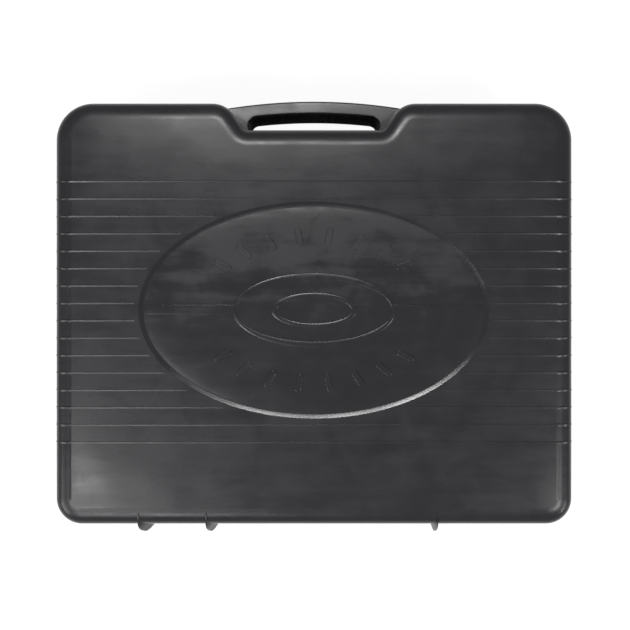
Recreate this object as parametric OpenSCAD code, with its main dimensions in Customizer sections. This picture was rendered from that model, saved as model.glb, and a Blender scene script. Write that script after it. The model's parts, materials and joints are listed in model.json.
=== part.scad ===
// Portable gas stove in its moulded carry case.
// The case lies on its back: the base shell rests on the ground, the lid shell
// faces up, the handle points to +Y and the hinge line runs along the -Y edge.
// The stove stands inside the base shell with its front panel towards +Y.

/* [Case] */
// Width of the case at the parting line
case_w = 366; // [356:2:386]
// Depth of the case at the parting line, hinge edge to handle side
case_d = 299; // [291:2:315]
// Height of the closed case, half of it in each shell
case_h = 110; // [108:2:124]
// Wall thickness of the moulded shells
wall = 2.4; // [2:0.1:3]
// Rounding between the face of a shell and its side
edge_r = 9; // [7:0.5:10]
// How far a side wall leans in between the parting line and the rounding
draft = 0.9; // [0.6:0.1:1.2]
// Corner radius beside the handle
handle_corner_r = 27; // [22:1:32]
// Corner radius beside the hinges
hinge_corner_r = 19; // [15:1:26]
// Height of the locating tongue on the rim of the base shell
tongue_h = 2.5; // [1.5:0.5:4]

/* [Face pattern] */
// Number of ribs across the face
rib_count = 16; // [6:2:16]
// Spacing of the ribs
rib_pitch = 12.2; // [11:0.1:12.4]
// Width of a rib
rib_w = 1.4; // [1:0.1:2]
// Height of a rib over the face
rib_h = 0.8; // [0.4:0.1:1.2]
// Width of the oval recess at its lip
recess_w = 246; // [200:2:260]
// Depth (in Y) of the oval recess at its lip
recess_d = 152; // [120:2:160]
// How deep the oval recess is at its edge
recess_depth = 1.8; // [1.4:0.1:3]
// How far the crowned middle of the recess floor stays under the face
recess_mid = 0.3; // [0:0.1:0.8]
// Height of the rings and bars raised on the recess floor
emblem_h = 0.8; // [0.4:0.1:1.2]

/* [Handle] */
// Depth of the hand notch in the handle side
notch_depth = 19; // [18:1:23]
// Half length of the hand hole, along the flat floor of the notch
notch_half = 47; // [43:1:52]
// Thickness of the handle bar from front to back of the closed case
handle_t = 48; // [38:2:52]
// Height of the bar at its middle
bar_h = 9; // [8:0.5:10]
// How far the arched bar stands past the edge of the case
bar_out = 4.4; // [3:0.2:5]

/* [Hinges and latches] */
// Distance of each hinge from the middle
hinge_x = 100; // [80:2:120]
// Length of one hinge over all its knuckles
hinge_len = 48; // [40:2:60]
// Radius of a hinge knuckle
knuckle_r = 3.6; // [3.2:0.1:4]
// Radius of a hinge pin
hinge_pin_r = 1.6; // [1.2:0.1:1.9]
// Distance of each latch from the middle
latch_x = 110; // [104:2:120]
// Width of a latch
latch_w = 31; // [26:1:34]
// Radius of a latch pin
latch_pin_r = 1.5; // [1.2:0.1:1.7]
// How far the latches stand off their catches when left unhooked, in degrees
latch_ease = 8; // [7:0.5:10]

/* [Stove body] */
// Height of the rubber feet
foot_h = 6; // [4:1:9]
// Height of the sheet-steel housing
housing_h = 58; // [54:1:62]
// Sheet thickness of the housing
housing_t = 1; // [0.8:0.1:1.4]
// Sheet thickness of inner plates
sheet_t = 0.8; // [0.6:0.1:1.2]
// Width of the cartridge bay
bay_w = 84; // [80:1:88]
// Length of the cartridge bay
bay_len = 196; // [188:2:198]

/* [Burner and controls] */
// Radius of the burner opening in the housing top
pan_r = 90; // [84:1:92]
// Radius of the burner head
burner_r = 30; // [26:1:32]
// Number of flame slots in the burner cap
port_count = 24; // [12:2:30]
// Height of the pan support fingers over the top plate
support_h = 20; // [14:1:22]
// Number of pan support fingers
finger_count = 6; // [3:1:8]
// Outer radius of the mixing tube
tube_r = 8; // [6:0.5:9]
// Radius of the control knob
knob_r = 20; // [16:1:21]
// Travel of the cartridge lock lever
lever_travel = 12; // [8:1:13]

/* [Hidden] */

// Clearances
gap = 0.3;          // between parts that only meet
run = 0.05;         // radial, between a pin and the bore it turns in
reach = 1;          // how far a cutter runs past the face that it cuts
bite = 0.6;         // how deep a small moulded feature is rooted in its wall
root = wall / 2;    // how deep a pocket or land is rooted in its wall

// Case outline
half_h = case_h / 2;
parting_z = half_h;
shoulder_r = 13;
notch_r = notch_depth - shoulder_r;
notch_y = case_d / 2 - notch_depth;
hinge_corner = [case_w / 2 - hinge_corner_r, -case_d / 2 + hinge_corner_r];
handle_corner = [case_w / 2 - handle_corner_r, case_d / 2 - handle_corner_r];
notch_corner = [notch_half, notch_y + notch_r];
shoulder = [notch_half + notch_depth, case_d / 2 - shoulder_r];
corner_fn = 96;
corner_steps = 6;
edge_steps = 5;

// Handle bar
bar_top = case_d / 2 + bar_out;
bar_end = shoulder[0] - 1;
bar_drop = bar_out + 1;
bar_arc_r = (bar_end * bar_end + bar_drop * bar_drop) / (2 * bar_drop);
bar_edge_r = 3;
bar_wall = 2;
// The webs at the ends of the hand hole lie this much lower than the bar
web_sink = 0.2;
bar_y = bar_top - bar_arc_r;
hole_x = notch_half - 6;
hole_top = bar_y + sqrt(pow(bar_arc_r - bar_h, 2) - hole_x * hole_x);
hole_y = (notch_y + hole_top) / 2;
hole_r = hole_top - hole_y + gap;

// Oval recess
recess_y = 1.8;
recess_slope = 3.5;
recess_side_t = 1.6;
oval_steps = 48;
rib_y0 = -90.4;
rib_keepout = 4.6;
full_ribs = 2;
mark_count = 8;
mark_span = 104;
mark_l = 13;
mark_w = 4.4;
band_w = 6.7;

// Hinge
hinge_out = 1;
hinge_y = -case_d / 2 - hinge_out;
land_t = 6.5;
land_h = 10;
relief = 0.4;
lid_knuckle = hinge_len * 0.41;
fin_x = [-123, -75.8, 86.4];
fin_t = 1.1;
fin_out = 5.3;
fin_root = 12;

// Latch
pocket_in = 7;
pocket_y = case_d / 2 - pocket_in;
pocket_w = latch_w + 3;
pocket_lid_h = 11;
latch_drop = 16;
pocket_base_h = latch_drop + 5.5;
pivot_y = pocket_y + 3.5;
pivot_z = parting_z - latch_drop;
catch_h = 6;
catch_w = latch_w - 7;
hook_z = latch_drop + catch_h + gap;
hook_t = 2;
plate_in = 0.3;
plate_out = 3.2;

// Stove envelope inside the case
stove_gap = 2.5;
knob_gap = 1;
knob_t = 15;
cradle_rib = 10;
rear_y = -case_d / 2 + land_t + stove_gap;
front_y = min(notch_y - wall - draft, pocket_y - wall - knob_gap - knob_t) - stove_gap;
stove_half = case_w / 2 - wall - draft - cradle_rib - gap;
stove_d = front_y - rear_y;
stove_y = (front_y + rear_y) / 2;
plate_z = wall + foot_h;
top_z = plate_z + housing_h;
housing_r = 14;
housing_edge = 5;
plate_lip = 10;

// Cartridge bay
bay_edge = 7;
bay_x = -stove_half + bay_edge + bay_w / 2;
bay_rear = rear_y + 6;
bay_front = bay_rear + bay_len;
cover_lap = 3;
cover_rise = 1.2;
cradle_r = 34.5;
cradle_end = 13;
cover_pin_l = 9;
cover_pin_r = 1.5;
cover_pin_in = 5;
cover_pin_drop = 6;
can_z = plate_z + sheet_t + cradle_r + 1.4;
partition_x = bay_x + bay_w / 2 + 2;

// Burner
burner_x = stove_half - pan_r - 24;
burner_y = stove_y;
tube_z = plate_z + 32;
bend_r = 30;
tube_wall = 1.2;
inlet_len = 8;
cap_z = top_z - 8;
bracket_z = tube_z - tube_r - 3;
bracket_w = 26;
bracket_foot = 14;
bracket_half = burner_r + 6;
pan_flange = 6;
pan_deep = 7;
pan_hole_r = burner_r + 12;
electrode_a = 205;
electrode_r = burner_r + 5;

// Controls
valve_y = front_y - 27;
valve_r = 16;
valve_len = 26;
spindle_r = 3;
jet_len = 12;
lever_x = bay_x + bay_w / 2 - 2;
lever_w = 16;
slot_w = 5;
slot_top = plate_z + 48;
stem_h = 4;

// Points along an arc
function arc(cx, cy, r, a0, a1, n) =
    [for (i = [0:n]) let (a = a0 + (a1 - a0) * i / n) [cx + r * cos(a), cy + r * sin(a)]];

// A 2D outline lifted to height z
function lift(points, z) = [for (p = points) [p[0], p[1], z]];

// Ends of the straight runs on the right half of the case outline, set in by i
function run_ends(i) = [
    [0, -case_d / 2 + i],
    [hinge_corner[0], -case_d / 2 + i], [case_w / 2 - i, hinge_corner[1]],
    [case_w / 2 - i, handle_corner[1]], [handle_corner[0], case_d / 2 - i],
    [shoulder[0], case_d / 2 - i], [notch_half + notch_r + i, shoulder[1]],
    [notch_half, notch_y - i], [0, notch_y - i]];

// Rounded rectangle, set in by i
function panel(w, d, r, i) = [for (q = [0:3]) let (
        sx = (q == 0 || q == 3) ? 1 : -1, sy = q < 2 ? 1 : -1)
    each arc(sx * (w / 2 - r), sy * (d / 2 - r), r - i, 90 * q, 90 * q + 90, corner_steps)];

// Ellipse about the centre of the recess
function oval(a, b) = [for (k = [0:oval_steps - 1])
    [a * cos(360 * k / oval_steps), b * sin(360 * k / oval_steps) + recess_y]];

// Insets and heights of a wall that leans in and rounds into a face
function wall_profile(h, r, lean) = concat(
    [[0, 0]],
    [for (k = [0:edge_steps]) let (a = 90 * k / edge_steps)
        [lean + r * (1 - cos(a)), h - r + r * sin(a)]]);

// Closed solid through rings of equal count; each end is fanned from its own centre
module loft(rings, low_centre, high_centre) {
    n = len(rings[0]);
    m = len(rings);
    low = n * m;
    high = low + 1;
    points = concat([for (r = rings) each r], [low_centre, high_centre]);
    sides = [for (j = [0:m - 2], i = [0:n - 1]) let (
            a = j * n + i, b = j * n + (i + 1) % n, c = b + n, d = a + n)
        each [[a, c, b], [a, d, c]]];
    caps = [for (i = [0:n - 1]) let (j = (i + 1) % n)
        each [[i, j, low], [(m - 1) * n + j, (m - 1) * n + i, high]]];
    polyhedron(points = points, faces = concat(sides, caps));
}

// Filled outline of the case, set in by i
module case_area(i) {
    right = run_ends(i);
    left = [for (k = [len(right) - 2:-1:1]) [-right[k][0], right[k][1]]];
    difference() {
        union() {
            polygon(concat(right, left));
            for (s = [-1, 1]) {
                translate([s * hinge_corner[0], hinge_corner[1]])
                    circle(r = hinge_corner_r - i, $fn = corner_fn);
                translate([s * handle_corner[0], handle_corner[1]])
                    circle(r = handle_corner_r - i, $fn = corner_fn);
                translate([s * shoulder[0], shoulder[1]])
                    circle(r = shoulder_r - i, $fn = corner_fn);
            }
        }
        for (s = [-1, 1])
            translate([s * notch_half, notch_corner[1]])
                circle(r = notch_r + i, $fn = corner_fn);
    }
}

// Profile (x outward, y up) carried straight from a to b
module straight(a, b) {
    translate(a)
        rotate([0, 0, atan2(b[1] - a[1], b[0] - a[0])])
            rotate([90, 0, 90])
                linear_extrude(norm(b - a))
                    mirror([1, 0])
                        children();
}

// Profile carried round a corner of radius r about c, from angle a0 to a1
module corner(c, r, a0, a1) {
    translate(c)
        rotate([0, 0, a0])
            rotate_extrude(angle = a1 - a0, $fn = corner_fn)
                translate([r, 0])
                    children();
}

// Profile carried once round the whole case outline
module sweep_outline() {
    e = run_ends(0);
    straight([-e[1][0], e[1][1]], e[1]) children();
    straight(e[7], [-e[7][0], e[7][1]]) children();
    for (side = [0, 1])
        mirror([side, 0, 0]) {
            corner(hinge_corner, hinge_corner_r, -90, 0) children();
            straight(e[2], e[3]) children();
            corner(handle_corner, handle_corner_r, 0, 90) children();
            straight(e[4], e[5]) children();
            corner(shoulder, shoulder_r, 90, 180) children();
            corner(notch_corner, notch_r, -90, 0)
                mirror([1, 0])
                    children();
        }
}

// Side wall of a shell with its rounding and a short lip into the face
module wall_section() {
    face_x = -draft - edge_r;
    polygon(concat(
        [[-wall, 0], [0, 0]],
        arc(face_x, half_h - edge_r, edge_r, 0, 90, edge_steps),
        [[face_x - bite, half_h], [face_x - bite, half_h - wall]],
        arc(face_x, half_h - edge_r, edge_r - wall, 90, 0, edge_steps)));
}

// Half of the handle: a channel open at the parting plane, and a web at each end of the hand hole
module handle_half() {
    half_a = asin(bar_end / bar_arc_r);
    top = handle_t / 2;
    r = bar_edge_r;
    inner_r = bar_edge_r - bar_wall;
    linear_extrude(top - web_sink)
        handle_web(hole_r + bar_wall);
    translate([0, 0, top - bar_wall - 2 * web_sink])
        linear_extrude(bar_wall + web_sink)
            handle_web(case_w);
    translate([0, bar_y, 0])
        rotate([0, 0, 90 - half_a])
            rotate_extrude(angle = 2 * half_a, $fn = 360)
                translate([bar_arc_r, 0])
                    polygon(concat(
                        [[0, 0]], arc(-r, top - r, r, 0, 90, edge_steps),
                        arc(r - bar_h, top - r, r, 90, 180, edge_steps), [[-bar_h, 0]],
                        [[bar_wall - bar_h, 0]], arc(r - bar_h, top - r, inner_r, 180, 90, edge_steps),
                        arc(-r, top - r, inner_r, 90, 0, edge_steps), [[-bar_wall, 0]]));
}

// Filled webs between the hand hole, the bar and the shoulders, no farther than r from the hole's ends
module handle_web(r) {
    far_x = shoulder[0] - 4;
    for (s = [-1, 1])
        difference() {
            intersection() {
                translate([s > 0 ? hole_x : -far_x, notch_y - wall])
                    square([far_x - hole_x, hole_top + bar_edge_r - notch_y + wall]);
                translate([s * hole_x, hole_y])
                    circle(r = r, $fn = corner_fn);
            }
            translate([s * hole_x, hole_y])
                circle(r = hole_r, $fn = corner_fn);
            case_area(root);
        }
}

// Block given by its corners
module block(x0, x1, y0, y1, z0, z1) {
    translate([x0, y0, z0])
        cube([x1 - x0, y1 - y0, z1 - z0]);
}

// Cylinder along X from x0 to x1
module rod_x(x0, x1, y, z, r) {
    translate([x0, y, z])
        rotate([0, 90, 0])
            cylinder(h = x1 - x0, r = r, $fn = 48);
}

// Cylinder along Y from y0 to y1
module rod_y(x, y0, y1, z, r) {
    translate([x, y1, z])
        rotate([90, 0, 0])
            cylinder(h = y1 - y0, r = r, $fn = 48);
}

// Profile drawn in Y and Z, extruded along X and centred on x
module along_x(x, w) {
    translate([x - w / 2, 0, 0])
        rotate([90, 0, 90])
            linear_extrude(w)
                children();
}

// Half-section of the case across its width, set in by i
function section(i) = let (
        cx = case_w / 2 - draft - edge_r, cz = half_h - edge_r,
        right = concat([[case_w / 2 - i, 0]], arc(cx, cz, edge_r - i, 0, 90, edge_steps)))
    concat(right, [for (k = [len(right) - 1:-1:0]) [-right[k][0], right[k][1]]]);

// One rib: a thin band over the face and down both sides
module rib_band(y) {
    translate([0, y + rib_w / 2, 0])
        rotate([90, 0, 0])
            linear_extrude(rib_w)
                difference() {
                    polygon(section(-rib_h));
                    polygon(section(bite));
                    translate([-case_w / 2 + bite, -reach])
                        square([case_w - 2 * bite, 2 * reach]);
                }
}

// The ribs numbered first to last
module ribs(first, last) {
    for (k = [first:last])
        rib_band(rib_y0 + k * rib_pitch);
}

// Room for a latch in the handle side, grown by g inwards and sideways
module latch_pocket(x, h, g) {
    block(x - pocket_w / 2 - g, x + pocket_w / 2 + g, pocket_y - g,
        case_d / 2 + (g > 0 ? -root : reach), g > 0 ? 0 : -reach, h + g);
}

// One moulded knuckle with its arm; up is 1 on the lid and -1 on the base
module knuckle(x0, x1, up) {
    rod_x(x0, x1, hinge_y, 0, knuckle_r);
    block(x0, x1, hinge_y, hinge_y + hinge_out + bite,
        up > 0 ? 0 : -knuckle_r, up > 0 ? knuckle_r : 0);
}

// Side wall, latch pockets and handle half shared by both shells
module half_shell(pocket_h) {
    difference() {
        union() {
            sweep_outline()
                wall_section();
            handle_half();
            for (s = [-1, 1]) {
                latch_pocket(s * latch_x, pocket_h, wall);
                block(s * hinge_x - hinge_len / 2 - 2, s * hinge_x + hinge_len / 2 + 2,
                    -case_d / 2 + root, -case_d / 2 + land_t, 0, land_h);
            }
        }
        for (s = [-1, 1])
            latch_pocket(s * latch_x, pocket_h, 0);
    }
}

// Solid with the crowned floor and slanted side of the recess, grown by g, lowered by d
module recess_solid(g, d, top_z) {
    a = recess_w / 2 + g;
    b = recess_d / 2 + g;
    floor_z = half_h - recess_depth - d;
    flare = recess_slope * (top_z - floor_z) / recess_depth - recess_slope;
    crown = recess_depth - recess_mid;
    floor_rings = [for (t = [0.4, 0.75, 1])
        lift(oval((a - recess_slope) * t, (b - recess_slope) * t), floor_z + crown * (1 - t * t))];
    rim = lift(oval(a + flare, b + flare), top_z);
    loft(concat(floor_rings, [rim]), [0, recess_y, floor_z + crown], [0, recess_y, top_z]);
}

// Face of the lid with its oval recess
module lid_face() {
    difference() {
        union() {
            translate([0, 0, half_h - wall])
                linear_extrude(wall)
                    case_area(draft + edge_r + bite / 2);
            recess_solid(recess_side_t, wall, half_h - bite);
        }
        recess_solid(0, 0, half_h + reach);
    }
    emblem();
}

// Height of the crowned recess floor at the share t of its half width
function recess_floor(t) = half_h - recess_depth + (recess_depth - recess_mid) * (1 - t * t);

// Raised oval ring between two ellipses
module emblem_ring(a, b, band_a, band_b) {
    t = a / (recess_w / 2);
    translate([0, 0, recess_floor(t) - bite])
        linear_extrude(bite + emblem_h)
            difference() {
                polygon(oval(a, b));
                polygon(oval(a - band_a, b - band_b));
            }
}

// Raised bar with round ends, on an oval path at angle a
module emblem_bar(a) {
    path_w = recess_w * 0.66;
    path_d = recess_d * 0.68;
    x = path_w / 2 * cos(a);
    y = path_d / 2 * sin(a);
    t = norm([x / recess_w, y / recess_d]) * 2;
    translate([x, y + recess_y, recess_floor(t) - bite])
        rotate([0, 0, atan2(y, x)])
            linear_extrude(bite + emblem_h) {
                square([mark_l - mark_w, mark_w], center = true);
                for (s = [-1, 1])
                    translate([s * (mark_l - mark_w) / 2, 0])
                        circle(d = mark_w, $fn = 24);
            }
}

// Low band that runs from the outer ring towards the lip on one side
module emblem_band(side, ring_a) {
    inner = ring_a - bite;
    outer = recess_w / 2 - recess_slope - 1;
    top = [for (k = [0:5]) let (x = inner + (outer - inner) * k / 5)
        [side * x, recess_floor(x * 2 / recess_w) + emblem_h / 2]];
    translate([0, recess_y + band_w / 2, 0])
        rotate([90, 0, 0])
            linear_extrude(band_w)
                polygon(concat(top, [[side * outer, recess_floor(1) - bite],
                    [side * inner, recess_floor(1) - bite]]));
}

// Two raised rings joined to the lip by low bands, with an arc of bars above and below
module emblem() {
    ring_a = recess_w * 0.232;
    emblem_ring(ring_a, recess_d * 0.174, 2.7, 4.6);
    emblem_ring(recess_w * 0.122, recess_d * 0.082, 4, 3.4);
    for (s = [-1, 1])
        emblem_band(s, ring_a);
    for (k = [0:mark_count - 1], s = [-1, 1])
        emblem_bar(s * (90 - mark_span / 2 + mark_span * k / (mark_count - 1)));
}

// Thin fin standing out past the hinge edge of the lid
module fin(x) {
    side_y = -case_d / 2 + draft;
    along_x(x, fin_t)
        polygon([[side_y + bite, half_h - fin_root - edge_r], [side_y - 1, half_h - fin_root - edge_r],
            [side_y - fin_out, half_h - edge_r - 2], [side_y - fin_out, half_h - edge_r + 2],
            [side_y + edge_r * 0.5, half_h - edge_r * 0.1 - bite], [side_y + edge_r, half_h - edge_r]]);
}

module base_shell() {
    knuckle_in = lid_knuckle / 2 + gap;
    color("#26262a")
        translate([0, 0, parting_z])
            difference() {
                union() {
                    mirror([0, 0, 1]) {
                        half_shell(pocket_base_h);
                        translate([0, 0, half_h - wall])
                            linear_extrude(wall)
                                case_area(draft + edge_r + bite / 2);
                        side_ribs();
                        stove_cradle();
                    }
                    rim_tongue();
                    for (s = [-1, 1], e = [-1, 1])
                        knuckle(s * hinge_x + (e > 0 ? knuckle_in : -hinge_len / 2),
                            s * hinge_x + (e > 0 ? hinge_len / 2 : -knuckle_in), -1);
                }
                for (s = [-1, 1]) {
                    rod_x(s * hinge_x - lid_knuckle / 2 - gap, s * hinge_x + lid_knuckle / 2 + gap,
                        hinge_y, 0, knuckle_r + relief);
                    rod_x(s * hinge_x - hinge_len, s * hinge_x + hinge_len,
                        hinge_y, 0, hinge_pin_r + run);
                    rod_x(s * latch_x - pocket_w / 2 - wall - bite, s * latch_x + pocket_w / 2 + wall + bite,
                        pivot_y, -latch_drop, latch_pin_r + run);
                }
            }
}

// Ribs of the base, on its side walls only
module side_ribs() {
    flat_x = case_w / 2 - draft - edge_r / 2;
    difference() {
        ribs(0, rib_count - 1);
        block(-flat_x, flat_x, -case_d, case_d, -reach, case_h);
    }
}

// Tongue inside the rim of the base, cut away at the pockets, hinges and handle
module rim_tongue() {
    tongue_t = 1.4;
    outer = -wall - gap;
    difference() {
        sweep_outline()
            polygon([[outer, tongue_h], [outer, -gap], [-wall + bite, -tongue_h / 2],
                [-wall + bite, -2 * tongue_h], [outer - tongue_t, -2 * tongue_h],
                [outer - tongue_t, tongue_h]]);
        block(-shoulder[0] - 2, shoulder[0] + 2, 0, case_d, -case_h, case_h);
        for (s = [-1, 1]) {
            block(s * latch_x - pocket_w / 2 - wall - 2 * gap, s * latch_x + pocket_w / 2 + wall + 2 * gap,
                pocket_y - wall - 2 * gap, case_d, -case_h, case_h);
            block(s * hinge_x - hinge_len / 2 - 3, s * hinge_x + hinge_len / 2 + 3,
                -case_d, -case_d / 2 + land_t + 2 * gap, -case_h, case_h);
        }
    }
}

// Upright ribs that hold the stove off the side walls, in the mirrored frame
module stove_cradle() {
    rib_x = case_w / 2 - wall - draft;
    for (s = [-1, 1], y = [rear_y + stove_d * 0.22, rear_y + stove_d * 0.78])
        block(s > 0 ? rib_x - cradle_rib : -rib_x - bite, s > 0 ? rib_x + bite : -rib_x + cradle_rib,
            y - wall / 2, y + wall / 2, half_h - wall - 34, half_h - bite);
}

module lid_shell() {
    catch_in = 3.3;
    color("#2b2b2f")
        translate([0, 0, parting_z])
            difference() {
                union() {
                    half_shell(pocket_lid_h);
                    lid_face();
                    ribs(0, full_ribs - 1);
                    ribs(rib_count - full_ribs, rib_count - 1);
                    difference() {
                        ribs(full_ribs, rib_count - full_ribs - 1);
                        translate([0, 0, half_h - edge_r])
                            linear_extrude(case_h)
                                polygon(oval(recess_w / 2 + rib_keepout, recess_d / 2 + rib_keepout));
                    }
                    for (s = [-1, 1]) {
                        knuckle(s * hinge_x - lid_knuckle / 2, s * hinge_x + lid_knuckle / 2, 1);
                        along_x(s * latch_x, catch_w)
                            polygon([[pocket_y - bite, 1], [pocket_y, 1], [pocket_y + catch_in, catch_h - 2],
                                [pocket_y + catch_in, catch_h], [pocket_y - bite, catch_h]]);
                    }
                    for (x = fin_x)
                        fin(x);
                }
                for (s = [-1, 1]) {
                    for (e = [-1, 1])
                        rod_x(s * hinge_x + (e > 0 ? lid_knuckle / 2 : -hinge_len / 2 - gap),
                            s * hinge_x + (e > 0 ? hinge_len / 2 + gap : -lid_knuckle / 2),
                            hinge_y, 0, knuckle_r + relief);
                    rod_x(s * hinge_x - hinge_len, s * hinge_x + hinge_len,
                        hinge_y, 0, hinge_pin_r + run);
                }
            }
}

module hinge_pins() {
    color("#8d9094")
        for (s = [-1, 1])
            rod_x(s * hinge_x - hinge_len / 2, s * hinge_x + hinge_len / 2,
                hinge_y, parting_z, hinge_pin_r);
}

// Swing latch, drawn hooked about its own pivot and left eased off its catch
module latch(x) {
    lip_out = 1.4;
    hub_r = 3;
    top = hook_z + hook_t;
    color("#1d1d20")
        translate([x, pivot_y, pivot_z])
            rotate([-latch_ease, 0, 0])
                difference() {
                    union() {
                        rod_x(-latch_w / 2, latch_w / 2, 0, 0, hub_r);
                        along_x(0, latch_w)
                            polygon([[plate_in, 0], [plate_out, 0], [plate_out, top - 3],
                                [plate_out + lip_out, top - 1], [plate_out + lip_out, top],
                                [-2 + 1.2, top], [-2, top - 0.8], [-2, hook_z], [plate_in, hook_z]]);
                    }
                    rod_x(-latch_w, latch_w, 0, 0, latch_pin_r + run);
                }
}

module left_latch() {
    latch(-latch_x);
}

module right_latch() {
    latch(latch_x);
}

module latch_pins() {
    color("#8d9094")
        for (s = [-1, 1])
            rod_x(s * latch_x - pocket_w / 2 - wall, s * latch_x + pocket_w / 2 + wall,
                pivot_y, pivot_z, latch_pin_r);
}

// Sheet-metal tray, open below: rounded panel, w by d, top at h
module pressed_tray(w, d, r, h, t, edge) {
    outer = wall_profile(h, edge, 0);
    inner = concat([[0, -reach]], wall_profile(h - t, edge - t, 0));
    difference() {
        loft([for (p = outer) lift(panel(w, d, r, p[0]), p[1])], [0, 0, 0], [0, 0, h]);
        loft([for (p = inner) lift(panel(w, d, r, p[0] + t), p[1])], [0, 0, -reach], [0, 0, h - t]);
    }
}

// Flat plate with round corners
module plate(w, d, r, t) {
    linear_extrude(t)
        union() {
            square([w - 2 * r, d], center = true);
            square([w, d - 1.99 * r], center = true);
            for (x = [-1, 1], y = [-1, 1])
                translate([x * (w / 2 - r), y * (d / 2 - r)])
                    circle(r = r, $fn = 48);
        }
}

module stove_feet() {
    foot_r = 9;
    foot_in = 30;
    color("#1a1a1a")
        for (x = [-1, 1], y = [rear_y + foot_in, front_y - foot_in])
            translate([x * (stove_half - foot_in), y, wall])
                cylinder(h = foot_h, r1 = foot_r - 1, r2 = foot_r, $fn = 32);
}

module bottom_plate() {
    inset = housing_t + gap;
    w = 2 * (stove_half - inset);
    d = stove_d - 2 * inset;
    color("#a9acb0")
        translate([0, stove_y, plate_z])
            difference() {
                union() {
                    plate(w, d, housing_r - inset, sheet_t);
                    difference() {
                        plate(w, d, housing_r - inset, plate_lip);
                        translate([0, 0, -reach])
                            plate(w - 2 * sheet_t, d - 2 * sheet_t, housing_r - inset - sheet_t,
                                plate_lip + 2 * reach);
                    }
                }
                for (k = [0:5])
                    translate([burner_x, -60 + 24 * k, -reach])
                        plate(90, 6, 3, 3 * reach);
                for (s = [-1, 1])
                    translate([burner_x + s * (bracket_half + bracket_foot / 2), 0, -reach])
                        cylinder(h = 3 * reach, r = 1.6, $fn = 24);
            }
}

module stove_housing() {
    vent_x = stove_half - housing_t - reach;
    color("#3a3f46")
        difference() {
            translate([0, stove_y, plate_z])
                pressed_tray(2 * stove_half, stove_d, housing_r, housing_h, housing_t, housing_edge);
            translate([burner_x, burner_y, top_z - 2 * reach])
                cylinder(h = 4 * reach, r = pan_r, $fn = 96);
            block(bay_x - bay_w / 2, bay_x + bay_w / 2, bay_rear, bay_front,
                top_z - 2 * reach, top_z + reach);
            rod_y(bay_x, front_y - 2 * reach, front_y + reach, can_z, spindle_r + 1.5);
            block(lever_x - slot_w / 2, lever_x + slot_w / 2, front_y - 2 * reach, front_y + reach,
                slot_top - lever_travel - stem_h - gap, slot_top + gap);
            for (k = [0:8])
                block(vent_x, stove_half + reach, burner_y - 66 + 16 * k, burner_y - 60 + 16 * k,
                    plate_z + 18, top_z - 16);
        }
}

module partition_plate() {
    foot = 8;
    rise = housing_h - housing_t - sheet_t - gap;
    color("#b4b7ba")
        translate([partition_x, 0, plate_z + sheet_t])
            difference() {
                union() {
                    block(0, sheet_t, bay_rear, bay_front, 0, rise);
                    block(0, foot, bay_rear, bay_front, 0, sheet_t);
                }
                for (k = [0:7])
                    block(-reach, sheet_t + reach, bay_rear + 14 + 22 * k, bay_rear + 26 + 22 * k, 12, 18);
                for (k = [0:7])
                    block(-reach, sheet_t + reach, bay_rear + 14 + 22 * k, bay_rear + 26 + 22 * k, 28, 34);
            }
}

// Saddle that carries the gas cartridge, with a guide rail for its notch
module cartridge_cradle() {
    half_a = 62;
    color("#9da1a6")
        translate([bay_x, bay_front - cradle_end, 0])
            rotate([90, 0, 0])
                linear_extrude(bay_len - 2 * cradle_end)
                    translate([0, can_z]) {
                        intersection() {
                            difference() {
                                circle(r = cradle_r + 1, $fn = 96);
                                circle(r = cradle_r, $fn = 96);
                            }
                            polygon([[0, 0], [-70 * sin(half_a), -70 * cos(half_a)], [0, -90],
                                [70 * sin(half_a), -70 * cos(half_a)]]);
                        }
                        for (s = [-1, 1])
                            translate([s * 18 - 0.5, -can_z + plate_z + sheet_t])
                                square([1, 8]);
                    }
}

module cartridge_cover() {
    cover_w = bay_w + 2 * cover_lap;
    cover_d = bay_len + 2 * cover_lap;
    color("#3a3f46") {
        difference() {
            translate([bay_x, (bay_rear + bay_front) / 2, top_z])
                union() {
                    linear_extrude(cover_rise)
                        polygon(panel(cover_w, cover_d, 5, 0));
                    translate([0, 0, -10])
                        linear_extrude(10)
                            difference() {
                                polygon(panel(bay_w - 2 * gap, bay_len - 2 * gap, 3, 0));
                                polygon(panel(bay_w - 2 * gap - 2, bay_len - 2 * gap - 2, 3, 1));
                            }
                }
            for (s = [-1, 1])
                translate([bay_x + bay_w / 2 - 14, (bay_rear + bay_front) / 2 + s * 8, top_z - reach])
                    cylinder(h = 4 * reach, r = 3, $fn = 32);
            for (y = [bay_rear, bay_front - cover_pin_l - 3])
                rod_y(bay_x - bay_w / 2 + cover_pin_in, y - reach, y + cover_pin_l + 4,
                    top_z - cover_pin_drop, cover_pin_r + run);
        }
    }
}

module cover_hinge_pins() {
    color("#8d9094")
        for (y = [bay_rear + gap, bay_front - cover_pin_l - gap])
            rod_y(bay_x - bay_w / 2 + cover_pin_in, y, y + cover_pin_l,
                top_z - cover_pin_drop, cover_pin_r);
}

module drip_pan() {
    z = top_z;
    t = sheet_t;
    low = z - pan_deep;
    lip = z - 2;
    color("#c9ccce")
        translate([burner_x, burner_y, 0])
            rotate_extrude($fn = 96)
                polygon([[pan_hole_r, lip], [pan_hole_r + t, lip], [pan_hole_r + t, low + t],
                    [pan_r - 14, low + t], [pan_r - 4, z + t], [pan_r + pan_flange, z + t],
                    [pan_r + pan_flange, z], [pan_r - 3, z], [pan_r - 13, low], [pan_hole_r, low]]);
}

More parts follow.
